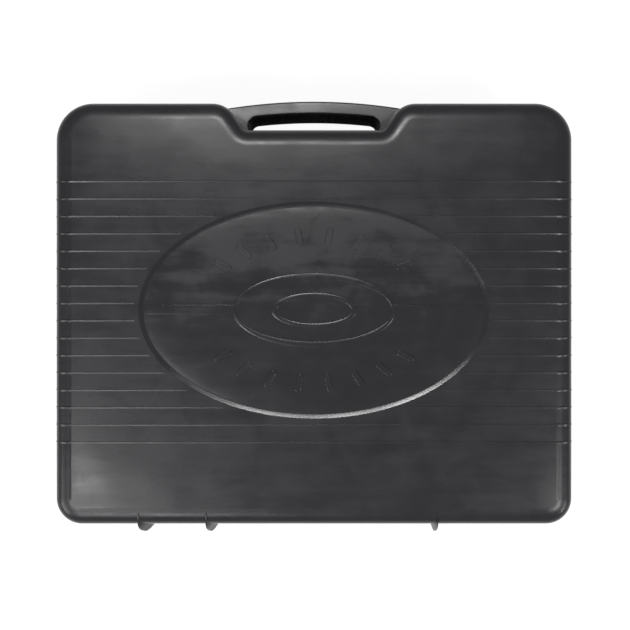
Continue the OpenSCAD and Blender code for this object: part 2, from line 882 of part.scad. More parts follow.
module pan_support() {
    ring_in = pan_r - 3;
    ring_out = pan_r + 3;
    low = top_z + sheet_t;
    finger_t = 3;
    nose = burner_r + 10;
    top = top_z + support_h;
    color("#17181a")
        translate([burner_x, burner_y, 0]) {
            rotate_extrude($fn = 96)
                polygon([[ring_in, low], [ring_out, low], [ring_out, low + 2], [ring_in + 2, low + 5],
                    [ring_in, low + 5]]);
            for (k = [0:finger_count - 1])
                rotate([0, 0, 360 * (k + 0.5) / finger_count])
                    translate([0, finger_t / 2, 0])
                        rotate([90, 0, 0])
                            linear_extrude(finger_t)
                                polygon([[ring_in + 1, low + 0.5], [ring_out - 0.5, low + 0.5],
                                    [ring_out - 0.5, top - 4], [ring_out - 3, top], [nose, top],
                                    [nose, top - 5], [nose + 8, top - 8], [ring_in - 6, top - 8],
                                    [ring_in + 1, top - 12]]);
        }
}

// Strap that carries the burner over the bottom plate
module burner_bracket() {
    foot_z = plate_z + sheet_t;
    t = 1.2;
    outer = bracket_half + bracket_foot;
    color("#b4b7ba")
        difference() {
            translate([burner_x, burner_y + bracket_w / 2, 0])
                rotate([90, 0, 0])
                    linear_extrude(bracket_w)
                        polygon([[-outer, foot_z], [-bracket_half, foot_z], [-bracket_half + t, foot_z],
                            [-bracket_half + t, bracket_z - t], [bracket_half - t, bracket_z - t],
                            [bracket_half - t, foot_z], [outer, foot_z], [outer, foot_z + t],
                            [bracket_half, foot_z + t], [bracket_half, bracket_z],
                            [-bracket_half, bracket_z], [-bracket_half, foot_z + t],
                            [-outer, foot_z + t]]);
            for (s = [-1, 1])
                translate([burner_x + s * (bracket_half + bracket_foot / 2), burner_y, foot_z - reach])
                    cylinder(h = 4 * reach, r = 1.6, $fn = 24);
        }
}

module burner_base() {
    boss_y = burner_y + burner_r + inlet_len;
    color("#b9bbbd")
        difference() {
            union() {
                translate([burner_x, burner_y, 0])
                    rotate_extrude($fn = 72)
                        polygon([[0, bracket_z], [burner_r - 8, bracket_z], [burner_r, bracket_z + 8],
                            [burner_r, cap_z - 2], [burner_r + 2, cap_z - 2], [burner_r + 2, cap_z],
                            [burner_r - 3, cap_z], [burner_r - 3, bracket_z + 9],
                            [burner_r - 10, bracket_z + 3], [0, bracket_z + 3]]);
                rod_y(burner_x, burner_y + burner_r - 5, boss_y, tube_z, tube_r + 2.5);
                rotate_about_burner(electrode_a)
                    translate([burner_r - 1, -6, cap_z - 14])
                        cube([10, 12, 2]);
            }
            rod_y(burner_x, burner_y + burner_r - 12, boss_y + reach, tube_z, tube_r - tube_wall);
            rotate_about_burner(electrode_a)
                translate([electrode_r, 0, cap_z - 14 - reach])
                    cylinder(h = 2 + 2 * reach, r = 2.5 + run, $fn = 24);
        }
}

// Places its children at angle a round the burner axis
module rotate_about_burner(a) {
    translate([burner_x, burner_y, 0])
        rotate([0, 0, a])
            children();
}

module burner_cap() {
    cap_h = 8;
    slot_deep = 5;
    color("#b08d3f")
        translate([burner_x, burner_y, cap_z])
            difference() {
                rotate_extrude($fn = 72)
                    polygon([[9, 0], [burner_r + 1, 0], [burner_r + 1, 1.5], [burner_r - 2, cap_h - 1],
                        [burner_r - 5, cap_h], [12, cap_h - 2], [9, cap_h - 3]]);
                for (k = [0:port_count - 1])
                    rotate([0, 0, 360 * k / port_count])
                        translate([burner_r - slot_deep, -0.6, 1.5])
                            cube([slot_deep + 3, 1.2, 3]);
            }
}

// Ring section of a tube
module tube_ring(r, t) {
    difference() {
        circle(r = r, $fn = 48);
        circle(r = r - t, $fn = 48);
    }
}

// Mixing tube: straight from the jet, one bend, then into the burner
module mixing_tube() {
    x0 = bay_x + valve_r + jet_len;
    x1 = burner_x - bend_r;
    y0 = burner_y + burner_r + inlet_len;
    y1 = valve_y - bend_r;
    color("#9a9da1") {
        translate([x0, valve_y, tube_z])
            rotate([90, 0, 90])
                linear_extrude(x1 - x0)
                    tube_ring(tube_r, tube_wall);
        translate([x1, y1, tube_z])
            rotate_extrude(angle = 90, $fn = 96)
                translate([bend_r, 0])
                    tube_ring(tube_r, tube_wall);
        translate([burner_x, y1, tube_z])
            rotate([90, 0, 0])
                linear_extrude(y1 - y0)
                    tube_ring(tube_r, tube_wall);
    }
}

// Regulator and valve body: nozzle to the cartridge, jet to the mixing tube
module gas_regulator() {
    back = valve_y - valve_len / 2;
    color("#8f9296")
        difference() {
            union() {
                translate([bay_x, back + valve_len, can_z])
                    rotate([90, 0, 0])
                        rotate_extrude($fn = 64)
                            polygon([[0, 0], [8, 0], [8, 4], [valve_r, 5], [valve_r, valve_len - 4],
                                [valve_r - 3, valve_len], [9, valve_len], [9, valve_len + 5],
                                [0, valve_len + 5]]);
                rod_x(bay_x + valve_r - 3, bay_x + valve_r + jet_len, valve_y, tube_z, 5);
                block(bay_x - 10, bay_x + 10, valve_y - 6, valve_y + 8, plate_z + sheet_t, can_z);
            }
            rod_y(bay_x, valve_y + 2, valve_y + valve_len, can_z, spindle_r + run);
            rod_y(bay_x, back - 6, back + 6, can_z, 2.2);
            rod_x(bay_x + valve_r + 2, bay_x + valve_r + jet_len + reach, valve_y, tube_z, 1);
        }
}

module valve_spindle() {
    color("#a8873a")
        rod_y(bay_x, valve_y + 3, front_y + knob_gap + 6, can_z, spindle_r);
}

module control_knob() {
    face = front_y + knob_gap;
    grip_w = 7;
    color("#141416")
        difference() {
            union() {
                translate([bay_x, face, can_z])
                    rotate([-90, 0, 0])
                        rotate_extrude($fn = 72)
                            polygon([[0, 0], [knob_r, 0], [knob_r, 3], [knob_r - 2, 5], [0, 5]]);
                translate([bay_x, face, can_z])
                    rotate([-90, 0, 0])
                        intersection() {
                            cylinder(h = knob_t, r1 = knob_r - 2, r2 = knob_r - 4, $fn = 72);
                            translate([-grip_w / 2, -knob_r, 0])
                                cube([grip_w, 2 * knob_r, knob_t]);
                        }
            }
            rod_y(bay_x, face - reach, face + 6, can_z, spindle_r);
            translate([bay_x - 0.6, face + knob_t - 0.6, can_z + 4])
                cube([1.2, 2, knob_r - 10]);
        }
}

module piezo_igniter() {
    x = bay_x - valve_r - 13;
    color("#7a3a2c") {
        block(x, x + 11, valve_y - 12, valve_y + 12, plate_z + sheet_t, plate_z + 34);
        rod_y(x + 5.5, valve_y - 18, valve_y - 12, plate_z + 26, 3);
    }
}

module ignition_electrode() {
    rotate_about_burner(electrode_a)
        translate([electrode_r, 0, 0]) {
            color("#e8e4da")
                translate([0, 0, cap_z - 20])
                    cylinder(h = 20, r = 2.5, $fn = 24);
            color("#8d9094")
                translate([0, 0, cap_z])
                    cylinder(h = 5, r = 0.8, $fn = 16);
        }
}

// Guide plate behind the front panel that the lever runs in
module lock_slide() {
    y1 = front_y - housing_t;
    low = plate_z + plate_lip + gap;
    color("#b4b7ba")
        difference() {
            block(lever_x - 14, lever_x + 14, y1 - 7, y1, low, top_z - housing_edge - 2);
            block(lever_x - 11, lever_x + 11, y1 - 5.8, y1 + reach, low + 4, top_z);
            block(lever_x - 5, lever_x + 5, y1 - 8, y1, low + 6, top_z);
        }
}

module lock_lever() {
    y1 = front_y - housing_t;
    color("#141416") {
        block(lever_x - 11 + gap, lever_x + 11 - gap, y1 - 5.8 + gap, y1 - 2, slot_top - 14, slot_top + 3);
        block(lever_x - slot_w / 2 + gap, lever_x + slot_w / 2 - gap, y1 - 3, front_y + 3,
            slot_top - stem_h, slot_top);
        along_x(lever_x, lever_w)
            polygon([[front_y + 1, slot_top - 8], [front_y + 8, slot_top - 5], [front_y + 9, slot_top],
                [front_y + 7, slot_top + 3], [front_y + 1, slot_top + 4]]);
    }
}

module burner_screws() {
    head_h = 1.8;
    color("#8d9094")
        for (s = [-1, 1])
            translate([burner_x + s * (bracket_half + bracket_foot / 2), burner_y, plate_z - head_h]) {
                cylinder(h = head_h, r = 3, $fn = 24);
                cylinder(h = head_h + sheet_t + 4, r = 1.5, $fn = 24);
            }
}

base_shell();
lid_shell();
hinge_pins();
left_latch();
right_latch();
latch_pins();
stove_feet();
bottom_plate();
stove_housing();
partition_plate();
cartridge_cradle();
cartridge_cover();
cover_hinge_pins();
drip_pan();
pan_support();
burner_bracket();
burner_base();
burner_cap();
mixing_tube();
gas_regulator();
valve_spindle();
control_knob();
piezo_igniter();
ignition_electrode();
lock_slide();
lock_lever();
burner_screws();
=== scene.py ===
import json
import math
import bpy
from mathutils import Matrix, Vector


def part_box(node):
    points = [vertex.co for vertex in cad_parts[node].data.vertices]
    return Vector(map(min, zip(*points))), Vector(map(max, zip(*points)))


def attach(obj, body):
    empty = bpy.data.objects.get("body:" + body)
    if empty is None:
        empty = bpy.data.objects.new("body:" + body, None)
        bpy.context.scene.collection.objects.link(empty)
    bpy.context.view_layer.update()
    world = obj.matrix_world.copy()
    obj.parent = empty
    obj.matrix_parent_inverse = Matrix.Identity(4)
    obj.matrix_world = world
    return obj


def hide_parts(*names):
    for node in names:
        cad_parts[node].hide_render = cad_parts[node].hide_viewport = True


bl_info = {
    "name": "Camping Stove Case",
    "version": (1, 0, 0),
    "blender": (4, 5, 0),
    "location": "3D View > Sidebar > Stove Case",
    "description": "Dresses the solids of a portable gas stove in its moulded carry case",
    "category": "Add Mesh",
}

import bmesh
import bpy
from bpy.props import FloatProperty, FloatVectorProperty, IntProperty, PointerProperty
from mathutils import Vector

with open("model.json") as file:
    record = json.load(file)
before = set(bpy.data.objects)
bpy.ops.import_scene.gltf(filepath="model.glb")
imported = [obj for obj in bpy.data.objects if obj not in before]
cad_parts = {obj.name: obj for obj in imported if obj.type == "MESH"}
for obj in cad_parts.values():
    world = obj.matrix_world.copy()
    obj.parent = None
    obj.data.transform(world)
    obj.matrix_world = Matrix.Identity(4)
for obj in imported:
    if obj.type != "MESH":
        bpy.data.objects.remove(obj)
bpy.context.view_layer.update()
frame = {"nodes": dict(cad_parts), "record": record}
MM = 0.001

# ------------------------------------------------------------------- sizes
# In millimetres and degrees. Each shell is built with its rim at z = 0 and its face up.

CASE_W, CASE_D, HALF_H, WALL = 366, 299, 55, 2.4
SOFT = 0.3  # small chamfers, and the play between two knuckles
PAST = 5    # how far a cutter reaches past what it cuts

# A wall leans in by LEAN, turns in a tight radius up to TIGHT_TURN and then in a wide one.
LEAN, EDGE_R, WIDE_R, TIGHT_TURN = 0.9, 8, 22, 75
EDGE_STEPS = (0, 8, 16, 24, 32, 40, 48, 56, 64, 70, TIGHT_TURN, 78, 81, 84, 87, 90)

# Corners of the outline, and the hand notch with its shoulders and its hollow corners.
HINGE_CORNER_R, HANDLE_CORNER_R = 19, 27
SHOULDER_X, SHOULDER_R, SHOULDER_TURN = 72, 20, 145
NOTCH_Y, HOLLOW_R = CASE_D / 2 - 19, 4

# Past FALL_X and FALL_Y the face falls by a share of the square of the way, and bends at the cuts.
FALL_X, FALL_X_SHARE, FALL_X_CUTS = 145, 0.00075, (145, 151, 157, 163, 169)
FALL_Y, FALL_Y_SHARE, FALL_Y_CUTS = 95, 0.00042, (95, 103, 111, 119, 127, 134)

# Oval recess: half sizes, middle, and the set-in and drop along its slanted lip.
OVAL_A, OVAL_B, OVAL_Y, OVAL_POINTS = 123, 76, 2.3, 128
LIP = ((-0.7, 0), (-0.2, 0), (0.05, 0.03), (0.3, 0.09), (2.75, 0.68), (3.05, 0.74), (3.3, 0.76))
LIP_W, LIP_DROP = LIP[-1]
FLOOR_A, FLOOR_B = OVAL_A - LIP_W, OVAL_B - LIP_W
FLOOR_CROWN, FLOOR_SWELL = 0.45, 0.4  # rise of the floor over its whole span, and near its edge

# Its underside: set-in and drop below the wall's, and shares of the floor's reach further in.
UNDERSIDE, UNDER_SHARES, UNDER_IN = ((0.4, 0), (2, 0), (5.4, 1.3)), (0.8, 0.55, 0.25), 1.5

# Rings on the floor: half sizes, band across and band along, and the rise over a band.
OUTER_RING, INNER_RING = (57.1, 26.4, 2.7, 4.6), (30, 12.5, 4, 3.4)
RING_STEPS = ((0, 0), (0.04, 0.7), (0.09, 1), (0.91, 1), (0.96, 0.7), (1, 0))

# Bands beside the rings: inner end, gap to the oval, middle, half width, corners, cut length.
BAND_X, BAND_GAP, BAND_Y, BAND_HALF, BAND_R, BAND_STEP = 55.5, 4.5, OVAL_Y + 0.6, 3.4, 0.6, 7.5
# Round-ended bars in an arc above and below the rings.
MARKS, MARK_SPAN, MARK_L, MARK_W = 8, 104, 13, 4.4
MARK_A, MARK_B = OVAL_A * 0.66, OVAL_B * 0.68
# Lifts as shares of the emblem height, soft edges, and how deep the pads stand in the floor.
RING_LIFT, BAND_LIFT, MARK_LIFT = 0.5, 0.6, 1.2
BAND_EDGE, MARK_EDGE, PAD_RIM, PAD_FOOT = 0.25, 0.3, 0.2, 0.5

# Handle: an arched bar, the webs below it, and the hand hole between them.
BAR_OUT, BAR_H, BAR_END, HANDLE_TOP = 4.4, 9, 65, 24
BAR_DROP = BAR_OUT + 1
BAR_R = (BAR_END ** 2 + BAR_DROP ** 2) / (2 * BAR_DROP)
HOLE_X, HOLE_R, HOLE_Y = 41, 6.35, 136.35
WEB_X, WEB_Y, WEB_R = BAR_END + 1, 120, 3
HANDLE_EDGE, HANDLE_WALL = 1.2, 2
SLOPE_Y, SLOPE = 139, 0.038  # the handle's top slopes down past SLOPE_Y

# Latch pockets, and the catch in each: its profile in Y and Z, and its half length.
POCKET_X, POCKET_W, POCKET_Y = 110, 34, 142.5
LID_POCKET_H, BASE_POCKET_H = 11, 21.5
CATCH, CATCH_HALF = ((-0.6, 1), (0, 1), (3.3, 4), (3.3, 6), (-0.6, 6)), 12

# Hinges: the pin's place, knuckles, and the block that carries each.
HINGE_X, HINGE_Y, HINGE_HALF = 100, -150.5, 24
KNUCKLE_R, BORE_R, RELIEF_R, LID_KNUCKLE = 3.6, 1.65, 4.0, 9.84
ARM_REACH, ARM_SET_IN, ARM_CLEAR, BORE_SET_IN = 1.7, 0.05, 0.03, 0.02
ROOT_SIDE, ROOT_D, ROOT_H = 2, 6.5, 10
ROOT_EASE = 0.04  # the blocks are cut this much wider than the walls they stand in

# Fins: X and lean of each, and the X per lean, Y and Z below the face of its edge and its root.
FINS, FIN_HALF = ((-123.6, 3.9), (-75.9, 3), (87, -1.3)), 0.4
FIN_EDGE = (
    (0, -139, -1), (0, -144.5, -1.3), (0, -148.7, -3.4), (0.1, -151.6, -7), (0.35, -153.6, -11),
    (0.8, -154.6, -14), (1.1, -154.7, -15.5), (1.6, -153.6, -18.5), (2.6, -149.5, -25))
FIN_ROOT = (
    (0.1, -139, -4), (0.8, -144, -5), (1.5, -146, -8), (1.8, -147.5, -10.5), (2, -148, -13),
    (2.2, -148, -16), (2.3, -148, -18), (2.5, -148, -21), (2.6, -148, -25))

# Cradle ribs that hold the stove: where they stand along it, and their profile from the wall.
STOVE_Y, STOVE_D, CRADLE_SHARES, CRADLE_HALF = -140.5, 262.1, (0.22, 0.78), 1.2
CRADLE = ((-10, -36.4), (0.6, -36.4), (0.6, -8.5), (-1.1, -4), (-3.8, -1.9), (-10, -1.4))

# Tongue of the base inside the lid's rim: its section as set-in and height, and where it is bare.
TONGUE_STEP, TONGUE = 4, (
    (1.8, 1.3), (2.7, 0.3), (2.7, -2.2), (3.0, -2.5), (3.8, -2.5), (4.1, -2.2), (4.1, 5),
    (1.8, 5))
BARE_HANDLE, BARE_LATCH, BARE_LATCH_Y, BARE_HINGE, BARE_HINGE_D = 86, 20, 139, 27, 7

# Ribs: section as shares of the width and heights, and their points along X on the face.
RIB_SECTION = (
    (-0.55, -0.4), (-0.55, -0.05), (-0.22, 0.03), (0.1, 0.22), (0.22, 0.27), (0.32, 0.22),
    (0.4, 0.08), (0.45, -0.06), (0.45, -0.4))
RIB_XS, RIB_FOOT = (168, 162, 156, 150, 145, 0.05), LEAN * 0.02
RIB_END_TURN, RIB_END = 0.9, 3  # on the base a rib ends where the edge turns, and dips in
FIRST_RIB, RIB_CLEAR, RIB_CROSS = -90.4, 3.2, 0.3  # gap to the oval, and reach past the middle

BREAK_ANGLE, SHELL_ANGLE, RIB_ANGLE = 25, 32, 40  # edges that turn more are kept sharp


# ---------------------------------------------------------------- settings

def srgb(code):
    """Linear colour of an sRGB hex code."""
    parts = [int(code[k:k + 2], 16) / 255 for k in (1, 3, 5)]
    return tuple(p / 12.92 if p <= 0.04045 else ((p + 0.055) / 1.055) ** 2.4 for p in parts)


class CaseSettings(bpy.types.PropertyGroup):
    """Sizes and colour of the carry case"""
    shell_colour: FloatVectorProperty(
        name="Shell colour", description="Colour of the moulded case", subtype="COLOR",
        size=3, min=0, max=1, default=srgb("#131315"))
    rib_count: IntProperty(
        name="Rib count", description="Number of ribs across the face", default=16, min=6, max=16)
    rib_pitch: FloatProperty(
        name="Rib spacing", description="Distance between two ribs", subtype="DISTANCE",
        unit="LENGTH", default=12.2 * MM, min=11 * MM, max=12.4 * MM)
    rib_width: FloatProperty(
        name="Rib width", description="Width of a rib at its foot", subtype="DISTANCE",
        unit="LENGTH", default=1.8 * MM, min=1.2 * MM, max=3 * MM)
    emblem_height: FloatProperty(
        name="Emblem height", description="Height of the rings and bars raised on the recess floor",
        subtype="DISTANCE", unit="LENGTH", default=0.5 * MM, min=0.2 * MM, max=1 * MM)
    edge_break: FloatProperty(
        name="Edge break", description="Width of the softened moulded edges", subtype="DISTANCE",
        unit="LENGTH", default=0.3 * MM, min=0.05 * MM, max=1 * MM)


class StoveSettings(bpy.types.PropertyGroup):
    """Edges and colour of the stove inside"""
    enamel_colour: FloatVectorProperty(
        name="Enamel colour", description="Colour of the baked enamel on the stove body",
        subtype="COLOR", size=3, min=0, max=1, default=srgb("#33373d"))
    sheet_break: FloatProperty(
        name="Sheet edge break", description="Width of the softened edges of sheet metal",
        subtype="DISTANCE", unit="LENGTH", default=0.15 * MM, min=0.05 * MM, max=0.5 * MM)


# --------------------------------------------------------------- materials

def add(tree, kind, inputs=None, **settings):
    """Adds a node with its settings; an input takes a value, an output or a node's first output."""
    node = tree.nodes.new(kind)
    for key, value in settings.items():
        setattr(node, key, value)
    for key, value in (inputs or {}).items():
        if isinstance(value, bpy.types.Node):
            value = value.outputs[0]
        if isinstance(value, bpy.types.NodeSocket):
            tree.links.new(value, node.inputs[key])
        else:
            node.inputs[key].default_value = value
    return node


def blank_material(name):
    """A new material with an empty tree."""
    mat = bpy.data.materials.new(name)
    mat.use_nodes = True
    mat.node_tree.nodes.clear()
    return mat, mat.node_tree


def start_material(name, colour, roughness, metallic=0.0, ior=None, specular=None):
    """A new material with its shader, and the coordinates of the piece it is on."""
    mat, tree = blank_material(name)
    mat.diffuse_color = (*colour, 1)
    mat.roughness = roughness
    mat.metallic = metallic
    shader = add(tree, "ShaderNodeBsdfPrincipled", {
        "Base Color": (*colour, 1), "Roughness": roughness, "Metallic": metallic})
    if ior is not None:
        shader.inputs["IOR"].default_value = ior
    if specular is not None:
        shader.inputs["Specular IOR Level"].default_value = specular
    add(tree, "ShaderNodeOutputMaterial", {0: shader})
    return mat, tree, shader, add(tree, "ShaderNodeTexCoord").outputs["Object"]


def tint(colour, share):
    """A colour made lighter or darker by a share of itself."""
    return tuple(min(1.0, c * (1 + share)) for c in colour) + (1,)


def finish(mat, shader, colour, rough, pattern, shares, relief):
    """Links a material's roughness, its colour as a pattern darkens and lightens it, and relief."""
    tree = mat.node_tree
    darker, lighter = (tint(colour, share) for share in shares)
    shade = add(tree, "ShaderNodeMix", {0: pattern, 6: darker, 7: lighter}, data_type="RGBA")
    tree.links.new(rough.outputs[0], shader.inputs["Roughness"])
    tree.links.new(shade.outputs[2], shader.inputs["Base Color"])
    tree.links.new(relief.outputs[0], shader.inputs["Normal"])
    return mat


def moulded_polypropylene(name, colour):
    """Black polypropylene from an etched mould: satin, and cloudy and softly wavy where it flowed.

    The recess is polished, its lip more so, and haze lies on the floor towards the handle.
    """
    mat, tree, shader, where = start_material(name, colour, 0.3, ior=1.49, specular=0.16)
    clouds = add(tree, "ShaderNodeTexNoise", {
        "Vector": where, "Scale": 1 / (28 * MM), "Detail": 4, "Roughness": 0.6, "Distortion": 0.6})
    flow_at = add(tree, "ShaderNodeMapping", {
        "Vector": where, "Scale": (1 / (60 * MM), 1 / (9 * MM), 1 / (30 * MM))})
    flow = add(tree, "ShaderNodeTexNoise", {
        "Vector": flow_at, "Scale": 1, "Detail": 3, "Roughness": 0.55})
    both = add(tree, "ShaderNodeMath", {0: clouds, 1: flow}, operation="ADD")
    rough = add(tree, "ShaderNodeMapRange", {
        "Value": both, "From Min": 0.7, "From Max": 1.3, "To Min": 0.22, "To Max": 0.34})

    # Masks: 1 in the oval on the face, on its lip and on its floor.
    oval = add(tree, "ShaderNodeMapping", {
        "Vector": where, "Location": (0, -OVAL_Y / OVAL_B, 0),
        "Scale": (1 / (OVAL_A * MM), 1 / (OVAL_B * MM), 0)})
    reach = add(tree, "ShaderNodeVectorMath", {0: oval}, operation="LENGTH").outputs["Value"]
    height = add(tree, "ShaderNodeSeparateXYZ", {0: where}).outputs["Z"]
    above = add(tree, "ShaderNodeMath", {0: height, 1: 100 * MM}, operation="GREATER_THAN")
    within = add(tree, "ShaderNodeMath", {0: reach, 1: 1.0}, operation="LESS_THAN")
    inside = add(tree, "ShaderNodeMath", {0: within, 1: above}, operation="MULTIPLY")
    rim = add(tree, "ShaderNodeMath", {0: reach, 1: math.sqrt(0.945)}, operation="GREATER_THAN")
    lip = add(tree, "ShaderNodeMath", {0: rim, 1: inside}, operation="MULTIPLY")
    floor = add(tree, "ShaderNodeMath", {0: inside, 1: lip}, operation="SUBTRACT")

    along = add(tree, "ShaderNodeSeparateXYZ", {0: oval}).outputs["Y"]
    cloudy = add(tree, "ShaderNodeMath", {0: both, 1: 1.6, 2: along}, operation="MULTIPLY_ADD")
    haze = add(tree, "ShaderNodeMapRange", {
        "Value": cloudy, "From Min": 1.7, "From Max": 2.4, "To Min": 0, "To Max": 0.6})
    sleek = add(tree, "ShaderNodeMath", {0: inside, 1: -0.18, 2: 1.0}, operation="MULTIPLY_ADD")
    sleeker = add(tree, "ShaderNodeMath", {0: lip, 1: -0.27, 2: sleek}, operation="MULTIPLY_ADD")
    factor = add(tree, "ShaderNodeMath", {0: haze, 1: floor, 2: sleeker}, operation="MULTIPLY_ADD")
    satin = add(tree, "ShaderNodeMath", {0: rough, 1: factor}, operation="MULTIPLY")

    grain = add(tree, "ShaderNodeTexNoise", {"Vector": where, "Scale": 1 / (0.9 * MM), "Detail": 2})
    waves = add(tree, "ShaderNodeTexNoise", {"Vector": where, "Scale": 1 / (45 * MM), "Detail": 1})
    low = add(tree, "ShaderNodeBump", {"Height": waves, "Distance": 0.75 * MM, "Strength": 0.6})
    fine = add(tree, "ShaderNodeBump", {
        "Height": grain, "Distance": 0.03 * MM, "Strength": 0.5, "Normal": low})
    return finish(mat, shader, colour, satin, clouds, (-0.15, 0.25), fine)


def speckled(name, colour, roughness, size, bump, metallic=0.0, spread=0.1, shade=0.15, ior=None):
    """A surface whose shade and height vary over grains of one size, and its gloss over patches."""
    mat, tree, shader, where = start_material(name, colour, roughness, metallic, ior)
    grain = add(tree, "ShaderNodeTexNoise", {
        "Vector": where, "Scale": 1 / size, "Detail": 4, "Roughness": 0.6})
    broad = add(tree, "ShaderNodeTexNoise", {
        "Vector": where, "Scale": 1 / (14 * size), "Detail": 3})
    rough = add(tree, "ShaderNodeMapRange", {
        "Value": broad, "From Min": 0.35, "From Max": 0.65,
        "To Min": roughness - spread, "To Max": roughness + spread})
    relief = add(tree, "ShaderNodeBump", {"Height": grain, "Distance": bump, "Strength": 0.6})
    return finish(mat, shader, colour, rough, grain, (-shade, shade), relief)


def worked(name, colour, roughness, fine_at, slow_at):
    """Metal with fine lines and slow bands of sheen; the two functions place the patterns."""
    spread = 0.06
    mat, tree, shader, where = start_material(name, colour, roughness, metallic=1.0)
    fine = add(tree, "ShaderNodeTexNoise", {
        "Vector": fine_at(tree, where), "Scale": 1, "Detail": 3})
    slow = add(tree, "ShaderNodeTexNoise", {
        "Vector": slow_at(tree, where), "Scale": 1, "Detail": 2})
    both = add(tree, "ShaderNodeMath", {0: fine, 1: slow}, operation="ADD")
    rough = add(tree, "ShaderNodeMapRange", {
        "Value": both, "From Min": 0.7, "From Max": 1.3,
        "To Min": roughness - spread, "To Max": roughness + spread})
    relief = add(tree, "ShaderNodeBump", {"Height": fine, "Distance": 0.01 * MM, "Strength": 0.5})
    return finish(mat, shader, colour, rough, fine, (-0.12, 0.08), relief)


def rolled(width):
    """Places a pattern as lines along X, so wide and 60 times as long, as rolls leave them."""
    def place(tree, where):
        scale = (1 / (60 * width), 1 / width, 1 / width)
        return add(tree, "ShaderNodeMapping", {"Vector": where, "Scale": scale})
    return place


def turned(width):
    """Places a pattern as rings, so wide, round the burner's axis, as a lathe leaves them."""
    low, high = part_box("burner_cap")
    centre = tuple(-(low[k] + high[k]) / 2 for k in (0, 1)) + (0,)

    def place(tree, where):
        off = add(tree, "ShaderNodeMapping", {"Vector": where, "Location": centre})
        at = add(tree, "ShaderNodeSeparateXYZ", {0: off}).outputs
        flat = add(tree, "ShaderNodeCombineXYZ", {"X": at["X"], "Y": at["Y"]})
        far = add(tree, "ShaderNodeVectorMath", {0: flat}, operation="LENGTH").outputs["Value"]
        ring = add(tree, "ShaderNodeMath", {0: far, 1: width}, operation="DIVIDE")
        tall = add(tree, "ShaderNodeMath", {0: at["Z"], 1: width}, operation="DIVIDE")
        return add(tree, "ShaderNodeCombineXYZ", {"X": ring, "Z": tall})
    return place


def make_materials(case, stove):
    """One material for each slot of the record.

    Etched grain, rolled lines and lathe marks are finer than 0.2 mm on the real finishes. They
    are drawn 0.5 to 1.2 mm wide, because anything finer wouldn't show.
    """
    return {
        # Etched mould: even satin black with a cloudy, softly waving sheen.
        "case_plastic": moulded_polypropylene(
            "Moulded polypropylene, black satin", case.shell_colour),
        # Finer mould: a shade greyer than the case, with a short blurred gloss.
        "latch_plastic": speckled(
            "Moulded nylon, black", srgb("#1a1a1c"), 0.38, 1.2 * MM, 0.03 * MM, ior=1.53),
        # Drawn wire: bright and smooth, with a thin long highlight.
        "pin_steel": speckled(
            "Drawn steel wire", srgb("#b4b7bb"), 0.3, 0.6 * MM, 0.01 * MM, metallic=1),
        # Moulded rubber: dull, soft black without a clear highlight.
        "foot_rubber": speckled(
            "Moulded rubber, black", srgb("#1c1c1c"), 0.75, 0.8 * MM, 0.05 * MM),
        # Plated rolled sheet: pale bluish metal with faint lines one way.
        "zinc_steel": worked(
            "Zinc-plated sheet steel", srgb("#bfc3c8"), 0.36, rolled(0.8 * MM), rolled(9 * MM)),
        # Sprayed and baked: slate grey with an even gloss and almost no texture.
        "enamel": speckled(
            "Baked enamel on steel", stove.enamel_colour, 0.3, 0.9 * MM, 0.02 * MM, spread=0.02,
            shade=0.08, ior=1.52),
        # Spun on a former: rings of light round the burner.
        "pan_steel": worked(
            "Stainless sheet, spun", srgb("#9fa1a3"), 0.38, turned(0.9 * MM), turned(7 * MM)),
        # Fired glass: deep black, glossy and a little wavy.
        "black_enamel": speckled(
            "Vitreous enamel, black", srgb("#131314"), 0.2, 1.1 * MM, 0.04 * MM, ior=1.52),
        # Die-cast skin: sandy grey metal that blurs what it mirrors.
        "cast_aluminium": speckled(
            "Die-cast aluminium", srgb("#a9abad"), 0.5, 0.8 * MM, 0.08 * MM, metallic=1),
        # Cut on a lathe: warm yellow with fine bright rings.
        "brass": worked("Turned brass", srgb("#b98f47"), 0.32, turned(0.5 * MM), turned(4 * MM)),
        # Drawn tube: pale metal with a soft, smooth sheen.
        "tube_aluminium": speckled(
            "Drawn aluminium tube", srgb("#b9bcc0"), 0.33, 0.7 * MM, 0.01 * MM, metallic=1),
        # Pressed resin: dense black with a low, even gloss.
        "knob_plastic": speckled(
            "Moulded phenolic, black", srgb("#161618"), 0.35, 1 * MM, 0.02 * MM, ior=1.6),
        # Fine mould: brick red with a blurred gloss.
        "igniter_plastic": speckled(
            "Moulded nylon, dull red", srgb("#7e3527"), 0.42, 1 * MM, 0.03 * MM),
        # Glaze: warm white with sharp highlights.
        "ceramic": speckled(
            "Glazed ceramic, white", srgb("#e6e0d3"), 0.15, 3 * MM, 0.01 * MM, spread=0.04,
            ior=1.55),
    }


MATERIALS = {}


def material(slot):
    """The material of a slot, made on first use."""
    if not MATERIALS:
        scene = bpy.context.scene
        MATERIALS.update(make_materials(scene.camp_case, scene.camp_stove))
    return MATERIALS[slot]


def slot_of(node):
    """The material slot that the record gives a CAD node."""
    for row in frame["record"]["subparts"]:
        if row["node"] == node:
            return row["material_slot"]
    raise RuntimeError("no slot for " + node)


def body_of(node):
    """The body that carries a CAD node."""
    for body, nodes in frame["record"]["behaviour"]["bodies"].items():
        if node in nodes:
            return body
    raise RuntimeError("no body for " + node)


def paint_node(node):
    """Gives a CAD node the material of its slot."""
    obj = frame["nodes"][node]
    obj.data.materials.clear()
    obj.data.materials.append(material(slot_of(node)))


# ------------------------------------------------------------------ pieces

